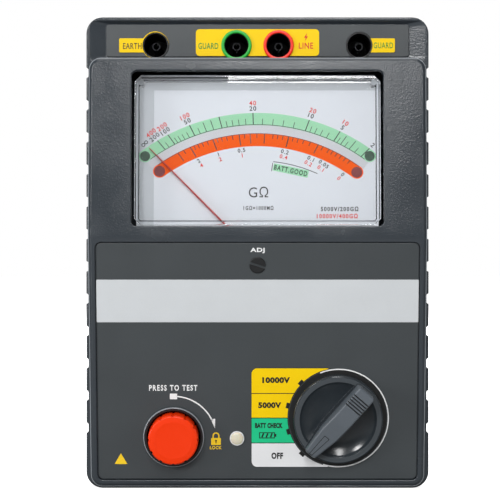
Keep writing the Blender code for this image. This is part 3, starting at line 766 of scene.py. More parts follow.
def control_panel():
    plate = piece("control_panel_plate", slab(area(panel_box, 2.2), panel_box.z0, PANEL_FACE, 0.35), CONTROL, PANEL,
                  "control_panel")
    combine(plate, gathered(control_holes()), CONTROL)
    smooth(plate)
    strip = extent("name_strip", CONTROL)
    film = slab(area(strip, 0.35), PANEL_FACE + 0.02, PANEL_FACE + 0.22, 0.08, 0.0, 4)
    piece("blank_name_strip", film, CONTROL, STRIP, "name_strip")


def flat_print_and_shade(name, shapes, finish, plane=CONTROL, body="casing"):
    """Flat print, also used for painted shade and painted shadow: closed shapes a twentieth of a millimetre proud."""
    return piece(name, gathered(shapes), plane, finish, body=body)


def words(text, at, height, width=None, bold=0.012, turn=0.0, base=None):
    base = PANEL_FACE - 0.02 if base is None else base
    return moved(lettering(text, height, width, bold, base, base + 0.07), at[0], at[1], 0.0, turn)


def lettering_on_panel(text, at, height, width, bold, spacing):
    return moved(lettering(text, height, width, bold, PANEL_FACE - 0.02, PANEL_FACE + 0.05, spacing), *at)


def panel_print():
    """Function words, the lock arrow and padlock, and a plain filled triangle."""
    x, y = TEST[0], TEST[1] - 0.4
    top = PANEL_FACE + 0.05
    low = PANEL_FACE - 0.02
    sweep = arc((x, y), 17.75, 86, 24, 28)
    arrow = [(-0.9, 2.05), (0.05, -2.05), (0.9, 2.05)]
    head = moved(prism(arrow, low, top), x + 16.9, y + 6.0, 0.0, 10)
    start = prism(outline(Area(x - 1.55, x + 1.55, y + 16.5, y + 18.9, 0.15), 0, 2), low, top)
    white = [
        words("ADJ", (ZERO[0], ZERO[1] + 6.1), 2.3, 6.0, 0.035),
        lettering_on_panel("PRESS TO TEST", (x - 0.1, y + 21.35), 2.5, 20.2, 0.03, 1.3),
        stroke(sweep, 0.53, low, top),
        head,
        start,
    ]
    flat_print_and_shade("panel_words_white", white, INK_WHITE)

    body = Area(x + 15.7, x + 19.8, y - 3.1, y - 0.1, 0.3)
    centre = (x + 17.75, y - 0.15)
    shackle = [(centre[0] + 1.2, centre[1])] + arc((centre[0], centre[1] + 1.0), 1.2, 0, 180, 12) + [(centre[0] - 1.2, centre[1])]
    yellow = [
        prism(outline(body, 0, 3), low, top),
        stroke(shackle, 0.55, low, top),
        words("LOCK", (x + 17.65, y - 4.25), 1.45, 5.0, 0.03),
        prism(circle(3.1, 3, (-57.5, -95.35), math.pi / 2), low, top),
    ]
    flat_print_and_shade("panel_words_yellow", yellow, INK_YELLOW)
    hole = [turned([(0.42, low), (0.42, top + 0.03)], 16, at=(centre[0], centre[1] - 1.15)),
            stroke([(centre[0], centre[1] - 1.2), (centre[0], centre[1] - 2.2)], 0.4, low, top + 0.03)]
    flat_print_and_shade("padlock_keyhole", hole, BLACK_INK_AND_SHADE)


# Range label and selector knob

def range_label():
    """Four coloured cells beside the knob, with the positions' names and radial marks."""
    box = extent("range_label", CONTROL)
    low, base = PANEL_FACE - 0.02, PANEL_FACE + 0.14
    kx, ky = SELECT
    whole = Area(box.x0, kx + 3, box.y0, box.y1, 2.6)
    right = 29.6
    backing = piece("range_label_backing", slab(whole, low, base, 0.0, 0.0), CONTROL, BLACK_INK_AND_SHADE, "range_label")
    combine(backing, turned([(20.9, -3), (20.9, 3)], 96, at=SELECT), CONTROL)
    combine(backing, prism(outline(Area(right, 50, box.y0 - 1, box.y1 + 1, 0.1), 0, 1), -3, 3), CONTROL)
    borders = (box.y1, -66.6, -77.1, -87.8, box.y0)
    finishes = (("yellow_high", YELLOW), ("yellow_low", YELLOW), ("green", LABEL_GREEN), ("grey", LABEL_GREY))
    for (name, finish), top, bottom in zip(finishes, borders, borders[1:]):
        cell = Area(box.x0 - 1, right, bottom + 0.18, top - 0.18, 0.1)
        film = piece(f"range_label_{name}", prism(outline(cell, 0, 1), low, base + 0.08), CONTROL, finish)
        combine(film, prism(outline(whole, 0.12), -3, 3), CONTROL, "INTERSECT")
        combine(film, turned([(21.15, -3), (21.15, 3)], 96, at=SELECT), CONTROL)
    ink = base + 0.06
    black = [
        words("10000V", (7.8, -60.9), 2.55, 11.6, 0.055, base=ink),
        words("5000V", (5.1, -71.6), 2.55, 9.6, 0.055, base=ink),
        words("BATT CHECK", (4.75, -80.3), 2.2, 11.6, 0.06, base=ink),
        words("OFF", (8.3, -93.3), 2.75, 4.9, 0.045, base=ink),
    ]
    for k in range(4):
        mark = prism([(0.62, -1.2), (0.62, 1.2), (-0.62, 1.2), (-0.62, -1.2)], low, base + 0.13)
        angle = 226 - 30 * k
        x, y = arc(SELECT, 21.7, angle, angle, 1)[0]
        black.append(moved(mark, x, y, 0.0, angle))
    black += battery_symbol((4.0, -84.5), ink)
    flat_print_and_shade("range_label_words", black, BLACK_INK_AND_SHADE)
    gap = loft([level(circle(r, 96, SELECT), z) for r, z in ((20.55, low), (20.55, base), (17.6, base), (17.6, low))], True)
    flat_print_and_shade("knob_gap_shadow_print", [gap], BLACK_INK_AND_SHADE)
    line = stroke(arc((kx + 0.35, ky - 0.2), 20.85, -108, 112, 72), 0.5, low, base + 0.04)
    flat_print_and_shade("knob_ring_print", [line], INK_WHITE)


def battery_symbol(at, low):
    """A cell's outline with three slanted bars."""
    half_length, half_height, width, top = 3.3, 1.3, 0.34, low + 0.07
    corners = ((1, -1), (1, 1), (-1, 1), (-1, -1))
    rings = []
    for inset, z in ((0.0, low), (0.0, top), (width, top), (width, low)):
        ring = [(at[0] + sx * (half_length - inset), at[1] + sy * (half_height - inset)) for sx, sy in corners]
        rings.append(level(ring, z))
    x = at[0] + half_length
    shapes = [loft(rings, tube=True), prism([(x, at[1] - 0.6), (x + 0.6, at[1] - 0.6), (x + 0.6, at[1] + 0.6), (x, at[1] + 0.6)], low, top)]
    for k in (-1, 0, 1):
        foot = (at[0] + 1.8 * k - 0.35, at[1] - 0.85)
        shapes.append(stroke([foot, (foot[0] + 0.7, at[1] + 0.85)], 0.62, low, top))
    return shapes


def bar_section(x, half, top, low):
    """Across the finger bar at x: drafted sides and rounded shoulders."""
    soft = min(0.9, half * 0.4)
    crown = half - 0.35
    right = [(half, low), (crown, top - soft)] + [(crown - inset, top - drop) for inset, drop in edge(soft, 4)[1:]]
    return [(x, y, z) for y, z in right] + [(x, -y, z) for y, z in right[::-1]]


def finger_bar():
    """The raised bar: square tail, parallel sides, then a taper to a lower tip that points at the range."""
    tail, shoulder, tip, half, half_tip = -17.6, 6.2, 18.4, 4.5, 3.0
    high, low_tip, foot = extent("selector_knob", CONTROL).z1, 8.6, 1.0

    def sized(x):
        share = max(0.0, (x - shoulder) / (tip - shoulder))
        drop = max(0.0, (x + 2.0) / (tip + 2.0))
        return half + (half_tip - half) * share, high + (low_tip - high) * drop

    sections = []
    for inset, drop in edge(1.3, 5):
        width, top = sized(tail + inset)
        sections.append(bar_section(tail + inset, width - drop, top - drop, foot))
    for x in (-14.0, -8.0, -2.0, 1.0, 4.0, shoulder, 10.0, 13.0, 15.5):
        sections.append(bar_section(x, *sized(x), foot))
    for inset, drop in edge(1.0, 4)[::-1]:
        width, top = sized(tip - inset)
        sections.append(bar_section(tip - inset, width - drop, top - drop, foot))
    return loft(sections)


def selector_knob():
    """A skirted knob with a dished face, a finger bar with a grooved tail, and a filled pointer mark."""
    box = extent("selector_knob", CONTROL)
    angle = 229.0
    plane = CONTROL @ Matrix.Translation((*SELECT, 0)) @ Matrix.Rotation(math.radians(angle), 4, "Z")
    skirt, rim_top, dish = 18.7, 4.0, 15.9
    low = box.z0
    outer = [(skirt - 0.25, low), (skirt, low + 0.25), (skirt, rim_top - 0.6)]
    outer += [(skirt - inset, rim_top - drop) for inset, drop in edge(0.6, 4)[1:]]
    bowl = [(dish + 0.25, rim_top), (dish, rim_top - 0.12)]
    bowl += [(r, 0.9 + 2.6 * (r / 15.6) ** 3.4) for r in (15.6, 15.0, 14.2, 13.2, 12.0, 10.5, 8.5, 6.0)]
    straight = Matrix.Diagonal((0.001, 0.001, 0.001, 1.0))
    knob = piece("selector_knob_body", finger_bar(), straight, KNOB, "selector_knob", "selector")
    grooves = []
    for k in range(5):
        x = -13.6 + 1.25 * k
        across = [(x - 0.42, 1.0), (x - 0.42, 0.0), (x - 0.15, -0.7), (x + 0.15, -0.7), (x + 0.42, 0.0), (x + 0.42, 1.0)]
        grooves.append(loft([[(px, y, box.z1 + rise) for px, rise in across[::-1]] for y in (-5.0, 5.0)]))
    combine(knob, gathered(grooves), straight)
    combine(knob, turned(outer + bowl, 96), straight, "UNION")
    combine(knob, turned([(3.3, -1), (3.3, 8.3)], 32), straight)
    knob.data.transform(plane @ straight.inverted())
    smooth(knob, 30)
    return plane


def knob_marks(plane):
    """The skirt's flat top ring in a lighter grey as a painted highlight, painted shade in the bottoms of the tail
    grooves, and the pointer mark on the bar's tip.
    """
    # Painted highlight: the flat top of the skirt in a lighter grey than the rest of the knob.
    ring = [(18.05, 3.98), (18.05, 4.04), (16.2, 4.04), (16.2, 3.98)]
    piece("knob_rim_ring", turned(ring, 96, tube=True), plane, KNOB_RIM, body="selector")
    high, tip_top = extent("selector_knob", CONTROL).z1, 8.6

    # Dark strips at the bottoms of the tail grooves: painted shade.
    lines = []
    for k in range(5):
        x = -13.6 + 1.25 * k
        corners = [(x + 0.2, -4.0), (x + 0.2, 4.0), (x - 0.2, 4.0), (x - 0.2, -4.0)]
        lines.append(prism(corners, high - 0.75, high - 0.6))
    flat_print_and_shade("knob_groove_painted_shade", lines, BLACK_INK_AND_SHADE, plane, "selector")

    def on_top(x):
        return high + (tip_top - high) * (x + 2.0) / 20.4

    for name, grow, rise, finish in (("outline", 0.3, 0.03, BLACK_INK_AND_SHADE), ("inlay", 0.0, 0.06, KNOB)):
        corners = ((17.6 + grow, -0.45 - grow), (17.6 + grow, 0.45 + grow), (7.8 - grow, 1.0 + grow), (7.8 - grow, -1.0 - grow))
        rings = [[(x, y, on_top(x) + lift) for x, y in corners] for lift in (-0.15, rise)]
        piece(f"knob_pointer_{name}", loft(rings), plane, finish, body="selector")


# Test button, lamp and zero adjuster

def test_button():
    plane = CONTROL @ Matrix.Translation((*TEST, 0))
    box = extent("button_cap", plane)
    radius, top = 10.5, box.z1
    side = [(radius - 0.2, box.z0), (radius, box.z0 + 0.2)]
    side += [(radius - inset, top - 0.18 - drop) for inset, drop in edge(0.9, 5)]
    face = [(8.6, top - 0.1), (8.1, top), (7.4, top), (6.9, top - 0.12), (3.0, top - 0.16)]
    cap = piece("test_button_cap", turned(side + face, 96), plane, BUTTON, "button_cap", "button_cap")
    notches = [turned([(0.75, box.z0 - 1), (0.75, top - 0.9), (1.05, top + 0.6)], 20, at=at) for at in circle(radius + 0.25, 12)]
    combine(cap, gathered(notches), plane)
    smooth(cap)
    inner, outer = 11.2, 12.8
    ring = [(inner, -4.4), (11.7, -4.4), (11.7, -0.5), (outer, -0.5)]
    ring += [(outer - inset, 0.8 - drop) for inset, drop in edge(0.5, 4)]
    ring += [(inner + inset, 0.8 - drop) for inset, drop in edge(0.35, 3)[::-1]]
    smooth(piece("test_button_bezel", turned(ring, 96, tube=True), plane, BLACK, "button_bezel"), 50)
    # A thin light ring along the bezel's outer rim: a painted highlight.
    rub_and_highlight = [(outer - 0.12, 0.4), (outer + 0.02, 0.4), (outer - 0.1, 0.68), (outer - 0.36, 0.82), (outer - 0.5, 0.76)]
    smooth(piece("test_button_bezel_rim", turned(rub_and_highlight, 96, tube=True), plane, EDGE_HIGHLIGHT), 50)


def lamp():
    plane = CONTROL @ Matrix.Translation((*LAMP, 0))
    low = extent("led_lens", plane).z0
    dome = [(4.2, low), (4.2, low + 1.2), (2.6, low + 1.2), (2.6, -0.1)]
    dome += [(r, 0.75 * math.sqrt(1 - (r / 2.75) ** 2)) for r in (2.5, 2.2, 1.8, 1.3, 0.7, 0.25)]
    smooth(piece("pilot_lamp_lens", turned(dome, 48), plane, LENS, "led_lens"))
    rim = [(2.62, -3.0), (3.05, -3.0), (3.05, -0.05), (2.97, 0.1), (2.75, 0.16), (2.62, 0.05)]
    smooth(piece("pilot_lamp_rim", turned(rim, 48, tube=True), plane, INK_WHITE))


def zero_screw():
    plane = CONTROL @ Matrix.Translation((*ZERO, 0))
    head = [(2.4, -3.7), (2.4, -1.5), (3.4, -1.5)] + [(3.4 - inset, 0.0 - drop) for inset, drop in edge(0.4, 4)]
    screw = piece("zero_adjust_screw", turned(head, 64), plane, BLACK, "zero_screw", "zero_screw")
    combine(screw, turned([(0.4, -5.6), (0.4, -3.0)], 12, at=(0, -0.25)), plane, "UNION")
    slot = moved(prism([(4, -0.45), (4, 0.45), (-4, 0.45), (-4, -0.45)], -0.9, 1), turn=-18)
    combine(screw, slot, plane)
    smooth(screw)


# Terminal shelf

def terminal_shelf():
    floor = extent("terminal_panel")
    centres = {name: middle(extent(f"{name}_socket")) for name in SOCKETS}
    shelf = piece("terminal_plate", slab(area(floor, 1.0), floor.z0, floor.z1, 0.2), BENCH, PANEL, "terminal_panel")
    combine(shelf, gathered([round_hole(5.75, 14, floor.z1, 0.12, at) for at in centres.values()]), BENCH)
    smooth(shelf)

    label = extent("line_guard_label")
    film = piece("line_guard_film", slab(area(label, 1.6), label.z0 - 0.1, label.z1, 0.05), BENCH, YELLOW, "line_guard_label")
    holes = [turned([(5.3, 14), (5.3, 17)], 64, at=centres[name]) for name in ("guard", "line")]
    combine(film, gathered(holes), BENCH)
    for name, node in (("earth", "earth_label"), ("guard_aux", "guard_label")):
        box = extent(node)
        inward = (box.x1 + 1.5, box.x1)[name == "guard_aux"]
        outward = (box.x0, box.x0 - 1.5)[name == "guard_aux"]
        film = piece(f"{name}_film", slab(Area(outward, inward, box.y0, box.y1, 0.6), box.z0 - 0.1, box.z1, 0.05), BENCH, YELLOW, node)
        if name == "earth":
            x, y = centres[name]
            combine(film, turned([(5.78, box.z0 - 0.1), (5.78, box.z1)], 64, at=(x - 0.16, y + 0.14)), BENCH, "UNION")
        combine(film, turned([(5.62, 14), (5.62, 17)], 64, at=centres[name]), BENCH)

    for name, finish in (("guard", GREEN_RING), ("line", RED_RING)):
        box = extent(f"{name}_ring")
        inner, outer = 5.15, 6.45
        ring = [(outer, box.z0)] + [(outer - inset, box.z1 - drop) for inset, drop in edge(0.3)]
        ring += [(inner + inset, box.z1 - drop) for inset, drop in edge(0.2)[::-1]] + [(inner, box.z0)]
        plane = BENCH @ Matrix.Translation((*centres[name], 0))
        smooth(piece(f"{name}_collar", turned(ring, 80, tube=True), plane, finish, f"{name}_ring"), 50)

    for name in SOCKETS:
        terminal(name, BENCH @ Matrix.Translation((*centres[name], 0)))
    shelf_words(label.z1)


def terminal(name, plane):
    """An insulated socket sleeve with a split contact tube down its middle."""
    box = extent(f"{name}_socket", plane)
    outer, bore = 5.6, 4.9
    sleeve = [(2.1, box.z0), (outer, box.z0), (outer, 9.7), (7.0, 9.7), (7.0, 11.7), (outer, 11.7)]
    sleeve += [(outer - inset, box.z1 - drop) for inset, drop in edge(0.15)]
    sleeve += [(bore + inset, box.z1 - drop) for inset, drop in edge(0.35, 4)[::-1]] + [(bore, -11.0), (2.1, -11.0)]
    smooth(piece(f"{name}_sleeve", turned(sleeve, 64, tube=True), plane, BLACK, f"{name}_socket"), 50)
    tube = [(1.8, -18.0), (1.8, 10.2), (1.65, 10.5), (1.3, 10.5), (1.2, 10.35), (1.2, -6.0)]
    # The contact tube is painted dark: painted shade inside the bore.
    contact = piece(f"{name}_contact_tube", turned(tube, 40), plane, SHADED_CONTACT, f"{name}_contact")
    slit = prism([(0.2, -3), (0.2, 3), (-0.2, 3), (-0.2, -3)], 3.0, 12.0)
    combine(contact, slit, plane)
    smooth(contact)


def shelf_words(top):
    low = top - 0.02
    bolt = [(0.55, 1.85), (-0.85, -0.25), (-0.1, -0.25), (-0.55, -1.85), (0.85, 0.35), (0.1, 0.35)]
    flat_print_and_shade("shelf_words_black", [words("EARTH", (-53.2, 187.75), 2.55, 7.9, 0.01, base=low)], BLACK_INK_AND_SHADE,
               BENCH)
    green = [words("GUARD", (-20.9, 187.75), 2.6, 8.5, 0.015, base=low),
             words("GUARD", (53.45, 188.0), 2.5, 8.3, 0.01, base=low)]
    flat_print_and_shade("shelf_words_green", green, INK_GREEN, BENCH)
    red = [words("LINE", (20.6, 187.9), 2.6, 6.1, 0.015, base=low), moved(prism(bolt, low, low + 0.07), 20.6, 191.5)]
    flat_print_and_shade("shelf_words_red", red, INK_RED, BENCH)


# Meter

PIVOT = spot("pointer_swing", METER)
PRINT_RISE = 0.95
ARC_CENTRE = (0.0, PRINT_RISE - 30.0)
DIAL_FACE = extent("dial_plate", METER).z1
NEEDLE_REST = 134.7


def meter_window():
    """A clear box lid with chamfered corners; its lower wall stops short, over the needle's root."""
    box = extent("meter_window", METER)
    chamfer, wall, pane, lower_wall = 2.7, 1.6, 2.0, -4.6
    shape = area(box, chamfer)
    rings = [level(outline(shape, 0, 1), box.z0)]
    rings += [level(outline(shape, inset, 1), box.z1 - drop) for inset, drop in edge(0.5, 4)]
    window = piece("meter_window_cover", loft(rings), METER, CLEAR, "meter_window")
    inside = area(box, chamfer, -wall)
    hollow = [level(outline(inside, 0, 1), box.z0 - 1), level(outline(inside, 0, 1), box.z1 - pane - 0.4)]
    combine(window, loft(hollow + [level(outline(inside, 0.4, 1), box.z1 - pane)]), METER)
    doorway = Area(box.x0 - 1, box.x1 + 1, box.y0 - 1, box.y0 + wall + 0.5, 0.1)
    combine(window, prism(outline(doorway, 0, 1), box.z0 - 1, lower_wall), METER)
    posts = [turned([(1.3, box.z0), (1.3, box.z1 - pane + 0.5)], 24, at=(x, box.y1 - wall - 1.1))
             for x in (box.x0 + wall + 1.1, box.x1 - wall - 1.1)]
    combine(window, gathered(posts), METER, "UNION")
    smooth(window, 30)


def band(inner, outer, start, end, low, high, round_ends=True):
    """A flat band along an arc about the scales' centre, clockwise from start to end."""
    points = arc(ARC_CENTRE, outer, start, end, 72)
    half, mean = (outer - inner) / 2, (outer + inner) / 2
    if round_ends:
        points += arc(arc(ARC_CENTRE, mean, end, end, 1)[0], half, end, end - 180, 16)[1:-1]
    points += arc(ARC_CENTRE, inner, end, start, 72)
    if round_ends:
        points += arc(arc(ARC_CENTRE, mean, start, start, 1)[0], half, start + 180, start, 16)[1:-1]
    return prism(points, low, high)


def on_arc(angle, radius):
    """Where the needle's line at an angle crosses a circle about the scales' centre."""
    direction = Vector((math.cos(math.radians(angle)), math.sin(math.radians(angle))))
    offset = Vector(PIVOT) - Vector(ARC_CENTRE)
    along = offset.dot(direction)
    reach = math.sqrt(along ** 2 - offset.length_squared + radius ** 2) - along
    return Vector(PIVOT) + reach * direction


def tick(angle, outer, inner, width, low, high):
    return stroke([on_arc(angle, inner), on_arc(angle, outer)], width, low, high)


def angle_on(scale, value):
    """Needle angle of a value, spaced by its logarithm between the scale's printed values."""
    known = sorted(scale)
    if value in scale:
        return scale[value]
    upper = next(i for i, number in enumerate(known) if number > value)
    below, above = known[upper - 1], known[upper]
    if below == 0:
        share = value / above
    else:
        share = math.log(value / below) / math.log(above / below)
    return scale[below] + share * (scale[above] - scale[below])


HIGH_SCALE = {200: 130.5, 100: 126.1, 50: 117.2, 30: 105.3, 20: 91.8, 15: 81.1, 10: 69.35, 5: 56.8, 2: 44.3}
LOW_SCALE = {3: 127.3, 2: 121.3, 1: 110.7, 0.5: 98.5, 0.3: 86.7, 0.2: 75.5, 0.1: 61.7, 0.05: 54.7, 0: 44.3}
HIGH_BAND = (76.4, 81.6)
LOW_BAND = (67.5, 73.0)


def dial():
    """The dial plate with its two curved scales, their numbers and the battery mark."""
    box = extent("dial_plate", METER)
    piece("dial_plate_face", slab(area(box, 1.0), box.z0, box.z1, 0.1), METER, DIAL_WHITE, "dial_plate")
    low = DIAL_FACE - 0.02
    tint, ink = DIAL_FACE + 0.03, DIAL_FACE + 0.06
    # Grey bands down the dial's left edge and along its top: painted shadow of the window's walls.
    painted_shadow_bands = [prism(outline(Area(box.x0 + 0.4, -43.6, box.y0 + 0.4, box.y1 - 0.4, 0.3), 0, 2), low, DIAL_FACE + 0.01),
               prism(outline(Area(-43.6, box.x1 - 0.4, box.y1 - 4.6, box.y1 - 0.4, 0.3), 0, 2), low, DIAL_FACE + 0.01)]
    flat_print_and_shade("dial_painted_shadow_bands", painted_shadow_bands, DIAL_PAINTED_SHADOW, METER)
    bands = (("green", HIGH_BAND, 126.8, 53.3, DIAL_GREEN, True), ("orange", LOW_BAND, 125.9, 53.5, DIAL_ORANGE, True),
             ("grey", (LOW_BAND[1], HIGH_BAND[0]), 127.4, 52.4, DIAL_GREY, False))
    for name, (inner, outer), start, end, finish, rounded in bands:
        shape = band(inner, outer, start, end, low, tint, rounded)
        flat_print_and_shade(f"dial_band_{name}", [shape], finish, METER)
    flat_print_and_shade("dial_scale_lines", scale_marks(low, ink), BLACK_INK_AND_SHADE, METER)
    spots = ((HIGH_BAND, (126.8, 53.3), 2.15, INK_DARK_GREEN, "green"), (LOW_BAND, (125.9, 53.5), 2.3, INK_DARK_RED, "red"))
    for (inner, outer), ends, radius, finish, name in spots:
        centres = [arc(ARC_CENTRE, (inner + outer) / 2, angle, angle, 1)[0] for angle in ends]
        dots = [turned([(radius, low), (radius, ink)], 32, at=at) for at in centres]
        flat_print_and_shade(f"dial_end_dots_{name}", dots, finish, METER)
    dial_numbers(ink)
    dial_words(low, tint)


def scale_marks(low, high):
    """Graduations that point at the needle's pivot, and the line along each scale's edge."""
    marks = [band(HIGH_BAND[0] + 0.1, HIGH_BAND[0] + 0.36, 126.0, 53.9, low, high, False),
             band(LOW_BAND[1] - 0.3, LOW_BAND[1] - 0.08, 125.2, 54.0, low, high, False)]
    inner, outer = HIGH_BAND
    long = (200, 100, 50, 30, 20, 10, 5, 2)
    medium = (40, 35, 4, 3)
    short = (150, 90, 80, 70, 60, 45, 28, 26, 24, 22, 18, 16, 14, 12, 9, 8, 7, 6, 4.5, 3.5, 2.5)
    for values, top, width in ((long, outer, 0.4), (medium, outer - 0.7, 0.3), (short, outer - 2.4, 0.26)):
        for value in values:
            marks.append(tick(angle_on(HIGH_SCALE, value), top, inner + 0.3, width, low, high))
    outer, inner = LOW_BAND[1], LOW_BAND[0]
    long = (2, 1, 0.5, 0.2)
    medium = (3, 0.4, 0.3, 0.1)
    short = (2.5, 1.8, 1.6, 1.4, 1.2, 0.9, 0.8, 0.7, 0.6, 0.45, 0.35, 0.26, 0.24, 0.22, 0.18, 0.16, 0.14, 0.12, 0.08, 0.06,
             0.05, 0.04, 0.03, 0.02, 0.01)
    for values, bottom, width in ((long, inner + 0.7, 0.42), (medium, inner + 1.2, 0.34), (short, outer - 2.0, 0.3)):
        for value in values:
            marks.append(tick(angle_on(LOW_SCALE, value), outer - 0.05, bottom, width, low, high))
    return marks


def dial_numbers(base):
    """Black numbers for one range and red ones, twice as large in value, for the other."""
    groups = (
        (HIGH_SCALE, {200: "200", 100: "100", 50: "50", 20: "20", 10: "10", 5: "5", 2: "2"}, 83.5, BLACK_INK_AND_SHADE, "high"),
        (HIGH_SCALE, {200: "400", 100: "200", 50: "100", 20: "40", 10: "20", 5: "10"}, 85.8, INK_RED, "high_red"),
        (LOW_SCALE, {2: "2", 1: "1", 0.5: "0.5", 0.2: "0.2", 0.1: "0.1", 0.05: "0.05", 0: "0"}, 66.1, BLACK_INK_AND_SHADE, "low"),
        (LOW_SCALE, {2: "4", 1: "2", 0.5: "1", 0.2: "0.4", 0.1: "0.2", 0.05: "0.1", 0: "0"}, 63.9, INK_RED, "low_red"),
    )
    low = DIAL_FACE - 0.02
    for scale, labels, radius, finish, name in groups:
        shapes = []
        for value, text in labels.items():
            at = on_arc(scale[value], radius)
            turn = scale[value] - 90
            height = 2.0 if radius > 80 else 1.75
            shapes.append(moved(lettering(text, height, None, 0.02, low, base, 1.2), at.x, at.y, 0.0, turn))
        if name == "high":
            at = on_arc(NEEDLE_REST, 83.4)
            shapes.append(moved(lettering("∞", 1.6, 3.2, 0.0, low, base), at.x, at.y, 0.0, NEEDLE_REST - 90))
        flat_print_and_shade(f"dial_numbers_{name}", shapes, finish, METER)


def dial_words(low, tint):
    ink = tint + 0.03
    turn, at = -12.0, (14.0, 27.2 + PRINT_RISE)
    label = moved(prism(outline(Area(-7.5, 7.5, -1.55, 1.55, 0.2), 0, 2), low, tint), *at, 0.0, turn)
    flat_print_and_shade("battery_mark_ground", [label], DIAL_GREEN, METER)
    text = moved(lettering("BATT.GOOD", 2.2, 14.2, 0.03, low, ink, 1.25), *at, 0.0, turn)
    flat_print_and_shade("battery_mark_words", [text], INK_DARK_GREEN, METER)
    frame_line = stroke([(5.9, 26.9 + PRINT_RISE), (6.4, 30.4 + PRINT_RISE)], 0.3, low, ink)
    over = stroke(arc(ARC_CENTRE, 61.3, 83.8, 65.7, 16), 0.3, low, ink)
    black = [frame_line, over,
             moved(lettering("GΩ", 4.6, 8.2, 0.0, low, ink), 0.4, 18.1 + PRINT_RISE),
             moved(lettering("1GΩ=1000MΩ", 1.8, 12.6, 0.03, low, ink, 1.35), 0.4, 11.4 + PRINT_RISE),
             moved(lettering("5000V/200GΩ", 2.0, 15.8, 0.03, low, ink, 1.3), 34.5, 11.0 + PRINT_RISE)]
    flat_print_and_shade("dial_words_black", black, BLACK_INK_AND_SHADE, METER)
    red = [moved(lettering("10000V/400GΩ", 2.0, 17.2, 0.03, low, ink, 1.3), 33.5, 8.0 + PRINT_RISE)]
    flat_print_and_shade("dial_words_red", red, INK_RED, METER)


def needle():
    """A ridged needle on a hub, with a flattened counterweight at its tail."""
    plane = METER @ Matrix.Translation((*PIVOT, 0)) @ Matrix.Rotation(math.radians(NEEDLE_REST), 4, "Z")
    box = extent("pointer", plane)
    low, high = box.z0, box.z1
    stations = ((box.x0, 0.45), (box.x0 + 0.3, 0.9), (-8.0, 0.9), (-7.4, 0.45), (0.0, 0.5), (40.0, 0.38), (box.x1 - 1.0, 0.26),
                (box.x1, 0.12))
    sections = []
    for x, half in stations:
        points = ((-half, low), (half, low), (half, low + 0.25), (half * 0.3, high), (-half * 0.3, high), (-half, low + 0.25))
        sections.append([(x, y, z) for y, z in points])
    blade = piece("needle_blade", loft(sections), plane, NEEDLE, "pointer", "movement")
    hub = [(box.y1 * 0.98, low), (box.y1, low + 0.1), (box.y1, high - 0.1), (box.y1 * 0.9, high)]
    combine(blade, turned(hub, 40), plane, "UNION")
    combine(blade, turned([(0.75, low - 1), (0.75, high + 1)], 24), plane)
    smooth(blade, 30)


# Back and inside

def cross_recess(surface, depth, reach=1.75, half=0.42):
    """A tapering cross cut into a screw head that faces the back."""
    rings = []
    for z, length, width in ((surface - 0.5, reach, half), (surface, reach, half), (surface + depth, 0.6, 0.2)):
        arm = [(length, -width), (length, width), (width, width)]
        rings.append(level([(x * c - y * s, x * s + y * c) for c, s in ((1, 0), (0, 1), (-1, 0), (0, -1)) for x, y in arm], z))
    return loft(rings)


def back_screw(node, body, turn):
    """A countersunk or pan-headed screw, seen from the back, with a ridged shank."""
    box = extent(node)
    at = middle(box)
    plane = BENCH @ Matrix.Translation((*at, 0)) @ Matrix.Rotation(math.radians(turn), 4, "Z")
    radius = (box.x1 - box.x0) / 2
    head = 1.3 if body == "battery_cover" else 2.6
    shank, tip = 1.3, box.z1
    profile = [(radius - 0.55, box.z0), (radius - 0.15, box.z0 + 0.2), (radius, box.z0 + 0.6), (radius, box.z0 + head)]
    z = box.z0 + head
    while z < tip - 1.6:
        profile += [(shank - 0.18, z + 0.1), (shank, z + 0.5)]
        z += 0.8
    profile += [(shank - 0.2, tip - 0.6), (0.5, tip)]
    screw = piece(f"{node}_steel", turned(profile[::-1], 32), plane, STEEL, node, body)
    combine(screw, cross_recess(box.z0, 1.1), plane)
    smooth(screw, 35)


def foot(corner):
    box = extent(f"foot_{corner}")
    plane = BENCH @ Matrix.Translation((*middle(box), 0))
    radius = (box.x1 - box.x0) / 2
    profile = [(0.6, box.z0 + 0.35), (2.6, box.z0 + 0.35), (3.1, box.z0)]
    profile += [(radius - 0.9 + 0.9 * math.sin(t), box.z0 + 0.9 - 0.9 * math.cos(t)) for t in (0, 0.4, 0.8, 1.2, 1.57)]
    smooth(piece(f"foot_{corner}_rubber", turned(profile + [(radius, box.z1)], 48), plane, RUBBER, f"foot_{corner}"))


def battery_cover():
    """The lid, with a thumb grip of ridges and a sunk screw."""
    box = extent("battery_cover")
    shape = area(box, 2.6)
    rings = [level(outline(shape, inset), box.z0 + rise) for inset, rise in edge(0.5)[::-1]]
    lid = piece("battery_cover_lid", loft(rings + [level(outline(shape), box.z1)]), BENCH, CASE, "battery_cover", "battery_cover")
    screw = middle(extent("battery_cover_screw"))
    well = pocket_from_back(3.4, -36.4, box.z0, screw, 0.3)
    bore = turned([(1.7, box.z0 - 1), (1.7, box.z1 + 1)], 24, at=screw)
    grip = from_back(Area(-16.0, 16.0, 28.0, 45.0, 3.0), box.z0, box.z0 + 1.0, 0.3)
    combine(lid, gathered([well, bore, grip]), BENCH)
    ribs = [slab(Area(-13.0, 13.0, y - 0.6, y + 0.6, 0.6), box.z0 + 0.15, box.z0 + 1.2, 0.0, 0.25) for y in (31, 34, 37, 40, 43)]
    combine(lid, gathered(ribs), BENCH, "UNION")
    line = from_back(Area(-44.0, 44.0, 79.0, 79.8, 0.3), box.z0, box.z0 + 0.4, 0.05)
    combine(lid, line, BENCH)
    smooth(lid)


